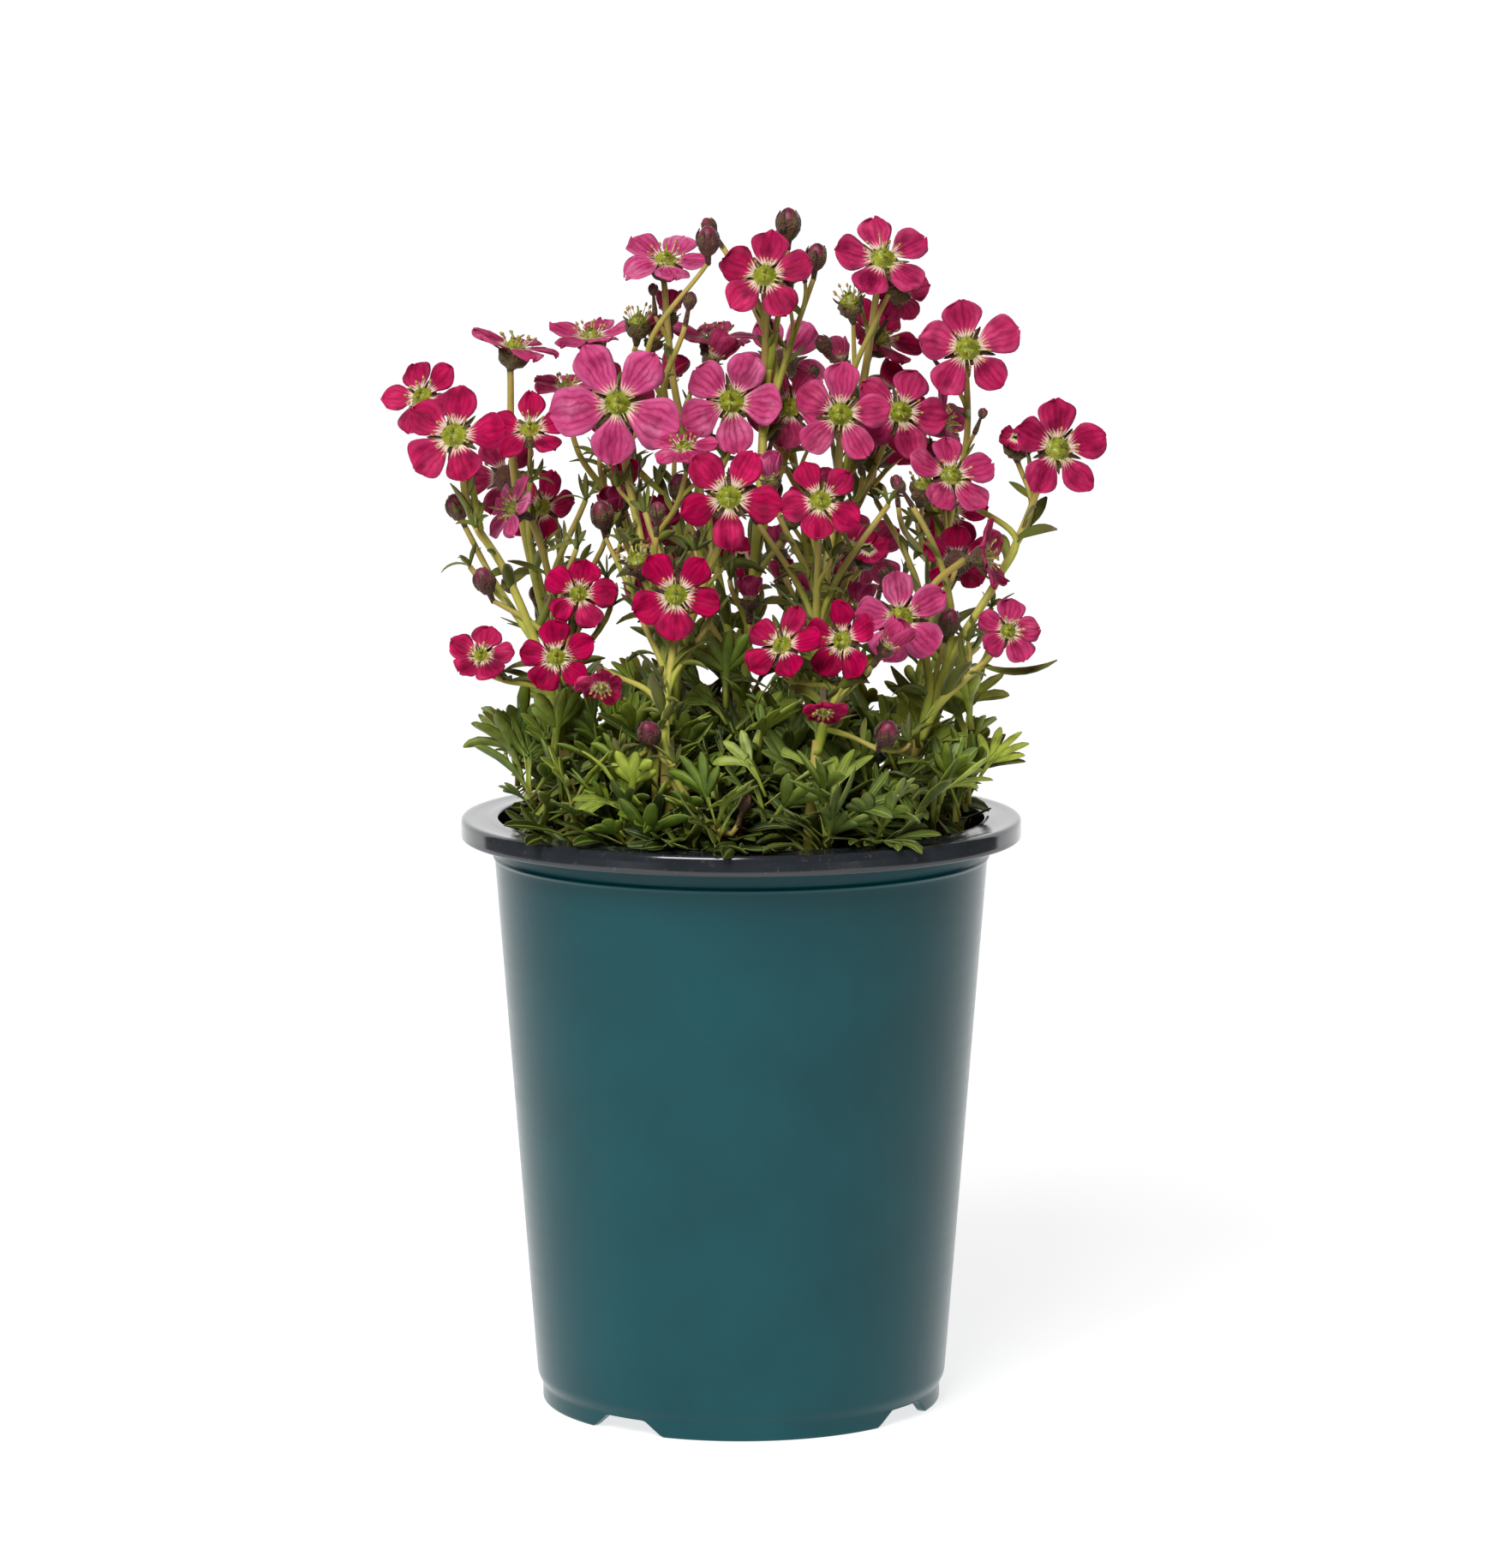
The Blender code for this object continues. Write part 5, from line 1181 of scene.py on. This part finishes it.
across = radius * half * s * draw.uniform(0.84, 1.12, each) * np.clip(1.9 - radius / 10, 1, 1.45)
length = radius * (1 + np.where(radius < 6, 0.4, 0.09) * draw.uniform(-0.9, 0.6, each))
rounding = np.clip((t - 0.5) / 0.5, 0, 1) ** 1.5
out = claw + (length - claw) * t - TIP_ARC * radius * s**2 * rounding
out = out - draw.uniform(-0.01, 0.05, each) * radius * np.exp(-(s / 0.3) ** 2) * t**8
out = np.where(per_head(closed), CLOSED_REACH * out, out)
lifted = cup + np.where(radius > 8, draw.uniform(-0.12, 0.2, each), 0)
height = petal_lift(radius, lifted, out) - 0.25 * (1 - t) ** 6 + 0.25
height = height + draw.uniform(-0.3, 0.75, each) * across**2 / radius * t
height = height + (draw.uniform(-0.15, 0.04, each) - droop) * radius * t**3
height = height + 0.42 * t**2 * np.sin(np.pi * (1.5 * s + draw.uniform(0, 2, each)))
height = height + 0.3 * t * np.sin(np.pi * (2.2 * s + 2.4 * t + draw.uniform(0, 2, each)))
height = height - 0.3 * np.exp(-(s / 0.16) ** 2) * np.sin(np.pi * t) + 0.05 * across
height = height + 0.14 * np.cos(3 * np.pi * s) * np.sin(np.pi * t)
rim = claw + 0.32 * radius * np.sin(0.62 * np.pi * t) * (1 + 0.12 * s)
wrap = np.clip(across / rim, -1.1, 1.1)
upright = per_head(goblet)
across, out = np.where(upright, rim * np.sin(wrap), across), np.where(upright, rim * np.cos(wrap), out)
height = np.where(upright, 0.9 * radius * t, height)
turns = petal_turns(petalled, 0) + draw.uniform(-0.09, 0.09, each[:2])
petals = on_heads(at_turns(turns, across, out, height), petalled)
pinks = np.concatenate(([head.pink for head in HEADS], draw.uniform(0, 0.7, len(sides))))[petalled]
petal_tint = np.clip(pinks[:, None] + draw.uniform(-0.08, 0.08, each[:2]), 0, 1)
finishes = {slot: petal_finish(slot) for slot in ("petals_magenta", "petals_pink")}
rings = [(HEADS[index].name, [row], is_open[index]) for row, index in enumerate(petalled[~goblet])]
for name, rows, solid in rings + [("half_open", np.flatnonzero(goblet), False)]:
    colour_slot = "petals_pink" if np.mean(pinks[rows]) > 0.5 else "petals_magenta"
    grid = Grids(flat(petals[rows]), petal_uv, petal_tint[rows], False, 0)
    bloom = build_piece(f"petals_{name}", [grid], [finishes[colour_slot]])
    thicken = bloom.modifiers.new("thicken", "SOLIDIFY")
    thicken.thickness = PETAL_THICKNESS * MM
    thicken.offset = 0.0
    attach(bloom, "root")
    if solid:
        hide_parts(f"bloom_{name}")

# The leaves: rosettes of soft lobed leaves crowd up every shoot and its side shoots into one
# cushion. A flat pale stalk widens into a palm with three or five pointed fingers, or ends in
# one; the leaves at the pot's front rest on its rim.
LEAF_STATIONS = np.array((0, 0.22, 0.46, 0.68, 0.86, 0.96, 1.0))
MID_SHAPE = (0.5, 0.38, 0.76, 1.0, 0.84, 0.46, 0.08)
SIDE_SHAPE = (0.45, 0.6, 0.9, 1.0, 0.78, 0.4, 0.07)
FINGERS = ((0.0, 1.0, 0.0), (0.45, 0.9, 0.3), (0.45, 0.9, -0.3), (0.44, 0.7, 0.36), (0.44, 0.7, -0.36))
LEAVES = 15
SHOOT_TURN = 47
SIDE_SHOOTS = 6
SIDE_FEET = (6, 12)
SIDE_LEAVES = 9
EDGE_LEAVES = 9
CUSHION_HEIGHT = 50
LEAF_LENGTH = 19.0
LEAF_WIDTH = 1.42
LEAF_ROOM = 1.8
SOIL_EDGE = 47.0
NEAR_RIM = 57.0
LOW_PETALS = 180.0
LOW_LEAVES = 136.0
FRONT_LEAVES = -36.0
THREE_FINGERED = 0.7
PLAIN_LEAVED = 0.12
DRY_BITS = 90
DRY_HEIGHTS = (122, 134)

# The spans that a dry bit's azimuth, rise, bend and length are drawn from.
DRY_SPANS = ((0, 2 * np.pi), (0, 1.2), (0.3, 2.0), (6, 13))

# Sprigs at the cushion's edge: the foot's place on the soil, then the tip.
EDGE_SPRIGS = (
    (44, -6, 49, -9, 148), (44, 4, 49, 5, 140), (40, 14, 45, 16, 155), (45, -13, 49, -17, 136),
    (-43, -7, -48, -9, 142), (-42, 4, -50, 5, 140), (-39, -18, -45, -22, 136), (-22, -39, -25, -46, 134),
    (-4, -45, -5, -51, 132), (16, -42, 18, -49, 133), (32, -32, 37, -38, 135), (38, -23, 43, -29, 138),
    (-32, -32, -36, -38, 134),
)


def resting_height(out):
    """Lowest height for a leaf at a distance from the pot's axis: soil, rim, then free air."""
    return np.interp(out, (0, 46, 51.5, 60.5, 64, 75),
                     (SOIL_TOP + 1, SOIL_TOP + 2, RIM_TOP + 0.7, RIM_TOP + 0.7, RIM_TOP - 4, RIM_TOP - 40))


leaf_green, tree = new_finish("leaf_green", Roughness=0.44, Specular_IOR_Level=0.4,
                              Subsurface_Weight=0.1, Subsurface_Scale=0.002)
across, along, tint = surface(tree)
mottle = grain(tree, 300, 3)
rib = worked(tree, "ABSOLUTE", worked(tree, "SUBTRACT", across, 1 / 3))
edge = worked(tree, "ABSOLUTE", worked(tree, "SUBTRACT", rib, 1 / 3))
# The tint runs from dark to light green. It carries the leaves' painted light and painted shade as well as
# their own tone.
colour = washed(tree, srgb(32, 48, 12), srgb(104, 130, 34), tint, 0.0, 0.5)
colour = washed(tree, colour, srgb(174, 188, 66), tint, 0.5, 1.0)
colour = washed(tree, colour, srgb(106, 124, 62), grain(tree, 24, 2), 0.5, 0.62, 0.5)
colour = washed(tree, colour, srgb(42, 66, 12), mottle, 0.4, 0.7, 0.55)
colour = washed(tree, colour, srgb(172, 186, 80), rib, 0.07, 0.01, 0.5)
colour = washed(tree, colour, srgb(184, 196, 100), edge, 0.06, 0.01, 0.5)
stalk = worked(tree, "MULTIPLY_ADD", mottle, 0.1, along)
fed(tree, "Base Color", washed(tree, colour, srgb(160, 168, 70), stalk, 0.55, 0.2))
raised(tree, grain(tree, 1100, 3), 0.25, 0.15)

dry_brown, tree = new_finish("dry_brown", Roughness=0.8, Specular_IOR_Level=0.2)
fed(tree, "Base Color", mottled(tree, 500, srgb(92, 52, 26), srgb(150, 92, 44)))

# Each rosette has a foot, a top, the shoot that it belongs to and a number of leaves, which go
# round it by the golden angle from the foot up. A finger is an arc that leaves its leaf's stalk
# at `start`, ends at `end` of the leaf's length and swings aside by a share of that length.
draw = np.random.default_rng(73)
rosettes = []
for number, (shoot, tip) in enumerate(zip(shoots, tips)):
    rosettes.append((shoot, tip, number, LEAVES))
    for side in range(SIDE_SHOOTS):
        turn = math.radians(number * SHOOT_TURN + side * 360 / SIDE_SHOOTS + draw.uniform(-20, 20))
        foot = shoot + draw.uniform(*SIDE_FEET) * np.array((math.cos(turn), math.sin(turn), 0))
        foot[:2] *= min(1, SOIL_EDGE / max(np.hypot(foot[0], foot[1]), 1))
        lean = draw.uniform(0.02, 0.22)
        tall = draw.uniform(0.35, 1) * (CUSHION_HEIGHT - 0.5 * np.hypot(foot[0], foot[1]))
        rosettes.append((foot, foot + (lean * foot[0], lean * foot[1], tall), number, SIDE_LEAVES))
for x, y, *tip in EDGE_SPRIGS:
    number = np.hypot(shoots[:, 0] - x, shoots[:, 1] - y).argmin()
    rosettes.append(((x, y, SOIL_TOP), tip, number, EDGE_LEAVES))
feet, tops, owners, counts = (np.array(column) for column in zip(*rosettes))
rosette = np.repeat(np.arange(len(counts)), counts)
order = np.arange(counts.sum()) - np.repeat(np.cumsum(counts) - counts, counts)
share = (order + 0.5) / counts[rosette]
total = len(share)
base = feet[rosette] + (0.12 + 0.88 * share)[:, None] * (tops - feet)[rosette]
azimuth = GOLDEN_ANGLE * order + 1.7 * rosette + draw.uniform(-0.3, 0.3, total)
outward = (base[:, 0] * np.cos(azimuth) + base[:, 1] * np.sin(azimuth)) / 45
rise = np.radians(22 + 48 * share + 16 * np.maximum(outward, 0) + draw.uniform(-24, 24, total))
bend = draw.uniform(0.15, 1.7, total) * (1.15 - 0.5 * share)
length = LEAF_LENGTH * (1.1 - 0.3 * share) * draw.uniform(0.65, 1.2, total)
width = LEAF_WIDTH * draw.uniform(0.8, 1.2, total)
twist = draw.uniform(-1.1, 1.1, total)
hollow = draw.uniform(-0.02, 0.06, total)
fingers = np.array(FINGERS)
start, end, aside = (fingers[None, :, column, None] for column in range(3))
along = start + (end - start) * LEAF_STATIONS
sway = draw.uniform(0.75, 1.2, (total, len(FINGERS), 1))
side = length[:, None, None] * aside * sway * LEAF_STATIONS**1.15
along = np.broadcast_to(along, side.shape)
deep = (slice(None), None, None)
middle, normal = arched(base[:, None, None, :], azimuth[deep], rise[deep], bend[deep], length[deep], along)
across = np.stack((-np.sin(azimuth), np.cos(azimuth), np.zeros(total)), axis=-1)[:, None, None, :]
roll = (twist[deep] * along)[..., None]
across, normal = np.cos(roll) * across + np.sin(roll) * normal, np.cos(roll) * normal - np.sin(roll) * across
leaf_lines = middle + side[..., None] * across + (hollow[deep] * side**2)[..., None] * normal
short = np.maximum(0, resting_height(np.hypot(leaf_lines[..., 0], leaf_lines[..., 1])) - leaf_lines[..., 2])
leaf_lines[..., 2] += np.maximum.accumulate(short, axis=-1)
shapes = np.array([MID_SHAPE] + [SIDE_SHAPE] * (len(FINGERS) - 1))
widths = width[deep] * shapes
widths[:, 3:] *= 0.85
low_petals = petal_points[petal_points[:, 2] < LOW_PETALS]
free = np.array([gap(line.reshape(-1, 3), low_petals) > LEAF_ROOM for line in leaf_lines])
x, y, z = np.moveaxis(leaf_lines, -1, 0)
far_out = (np.hypot(1.06 * x, y) > NEAR_RIM) & (z < LOW_LEAVES)
front = (y < FRONT_LEAVES) & (z > RIM_TOP - 9)
free &= ~(far_out & ~front).any(axis=(1, 2))
kept = np.repeat(free[:, None], len(FINGERS), axis=1)
kept[draw.uniform(0, 1, total) < THREE_FINGERED, 3:] = False
kept[draw.uniform(0, 1, total) < PLAIN_LEAVED, 1:] = False
# A leaf's tone: random and lighter up its rosette. Painted light lightens the higher leaves, and painted
# shade darkens those near the pot's axis.
leaf_tone_and_shade = 0.15 + 0.6 * share + draw.uniform(-0.38, 0.38, total) + (base[:, 2] - 140) / 80
leaf_tone_and_shade = np.clip(leaf_tone_and_shade - 0.6 * np.clip(1 - np.hypot(base[:, 0], base[:, 1]) / 42, 0, 1), 0, 1)
fingers_made = blades(leaf_lines[kept], widths[kept], normal[kept])
finger_uv = np.stack(np.broadcast_arrays(np.linspace(0, 1, len(BLADE)), along[kept][..., None]), axis=-1)
finger_tone_and_shade = np.broadcast_to(leaf_tone_and_shade[:, None], kept.shape)[kept]
finger_owner = np.broadcast_to(owners[rosette][:, None], kept.shape)[kept]

turn, out = draw.uniform(0, 2 * np.pi, DRY_BITS), SOIL_EDGE * np.sqrt(draw.uniform(0, 1, DRY_BITS))
height = draw.uniform(*DRY_HEIGHTS, DRY_BITS)
base = np.stack((out * np.cos(turn), out * np.sin(turn), height), axis=-1)[:, None]
dry_shapes = (draw.uniform(*span, (DRY_BITS, 1)) for span in DRY_SPANS)
dry_lines, dry_up = arched(base, *dry_shapes, np.linspace(0, 1, len(BRACT_SHAPE))[None, :])
dry = blades(dry_lines, draw.uniform(0.4, 0.9, (DRY_BITS, 1)) * BRACT_SHAPE, dry_up)
dry_owner = np.linalg.norm(base[:, :, :2] - shoots[None, :, :2], axis=-1).argmin(axis=1)
for number in range(len(shoots)):
    mine, bits = finger_owner == number, dry_owner == number
    grids = [Grids(fingers_made[mine], finger_uv[mine], finger_tone_and_shade[mine], True, 0),
             Grids(dry[bits], chart(len(BRACT_SHAPE), len(BLADE)), np.zeros(bits.sum()), True, 1)]
    grids = [grid for grid in grids if len(grid.points)]
    leaves = build_piece(f"leaves_{number:02d}", grids, [leaf_green, dry_brown])
    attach(leaves, "root")
    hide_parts(f"shoot_{number:02d}")

# The studio: a plain white floor that glows, as a lit table top does, a surround that only the
# camera sees as white, one large soft light from the front left and above, and a wide white
# screen behind, whose reflection lines the pot's sides and rim.
WHITE = (1.0, 1.0, 1.0, 1.0)
FLOOR_SIZE = 1.2
CAMERA_PLACE = (0.71, -1255.3, 307.6)
CAMERA_PITCH = 7.89
CAMERA_LENS = 135.8
CAMERA_SENSOR = 36.0
floor_white, _ = new_finish("floor_white", Base_Color=(0.42, 0.42, 0.42, 1.0), Roughness=0.9,
                            Specular_IOR_Level=0.1, Emission_Color=WHITE, Emission_Strength=0.76)
bpy.ops.mesh.primitive_plane_add(size=FLOOR_SIZE)
floor = bpy.context.object
floor.name = "studio_floor"
floor.data.materials.append(floor_white)

world = bpy.data.worlds.new("surround")
bpy.context.scene.world = world
world.use_nodes = True
surround = world.node_tree
seen = add_node(surround, "LightPath", {}).outputs["Is Camera Ray"]
backdrop = surround.nodes["Background"]
backdrop.inputs["Color"].default_value = WHITE
surround.links.new(worked(surround, "MULTIPLY_ADD", seen, 0.94, 0.08), backdrop.inputs["Strength"])
bpy.context.scene.view_settings.view_transform = "Standard"


def soft_light(name, place, wide, tall, power):
    """A rectangular area light at a place, facing the middle of the plant."""
    light = bpy.data.lights.new(name, "AREA")
    light.shape = "RECTANGLE"
    light.size, light.size_y, light.energy = wide, tall, power
    made = bpy.data.objects.new(name, light)
    bpy.context.scene.collection.objects.link(made)
    made.location = place
    made.rotation_euler = (Vector((0, 0, 0.15)) - Vector(place)).to_track_quat("-Z", "Y").to_euler()
    made.visible_camera = False


soft_light("key_light", (-0.4, -1.1, 1.2), 0.8, 0.8, 25)
soft_light("white_screen", (0, 1.0, 0.35), 2.8, 1.2, 12)

view = bpy.data.cameras.new("camera")
view.lens = CAMERA_LENS
view.sensor_width = CAMERA_SENSOR
camera = bpy.data.objects.new("camera", view)
bpy.context.scene.collection.objects.link(camera)
camera.location = np.array(CAMERA_PLACE) * MM
camera.rotation_euler = (math.radians(90 - CAMERA_PITCH), 0, 0)
bpy.context.scene.camera = camera
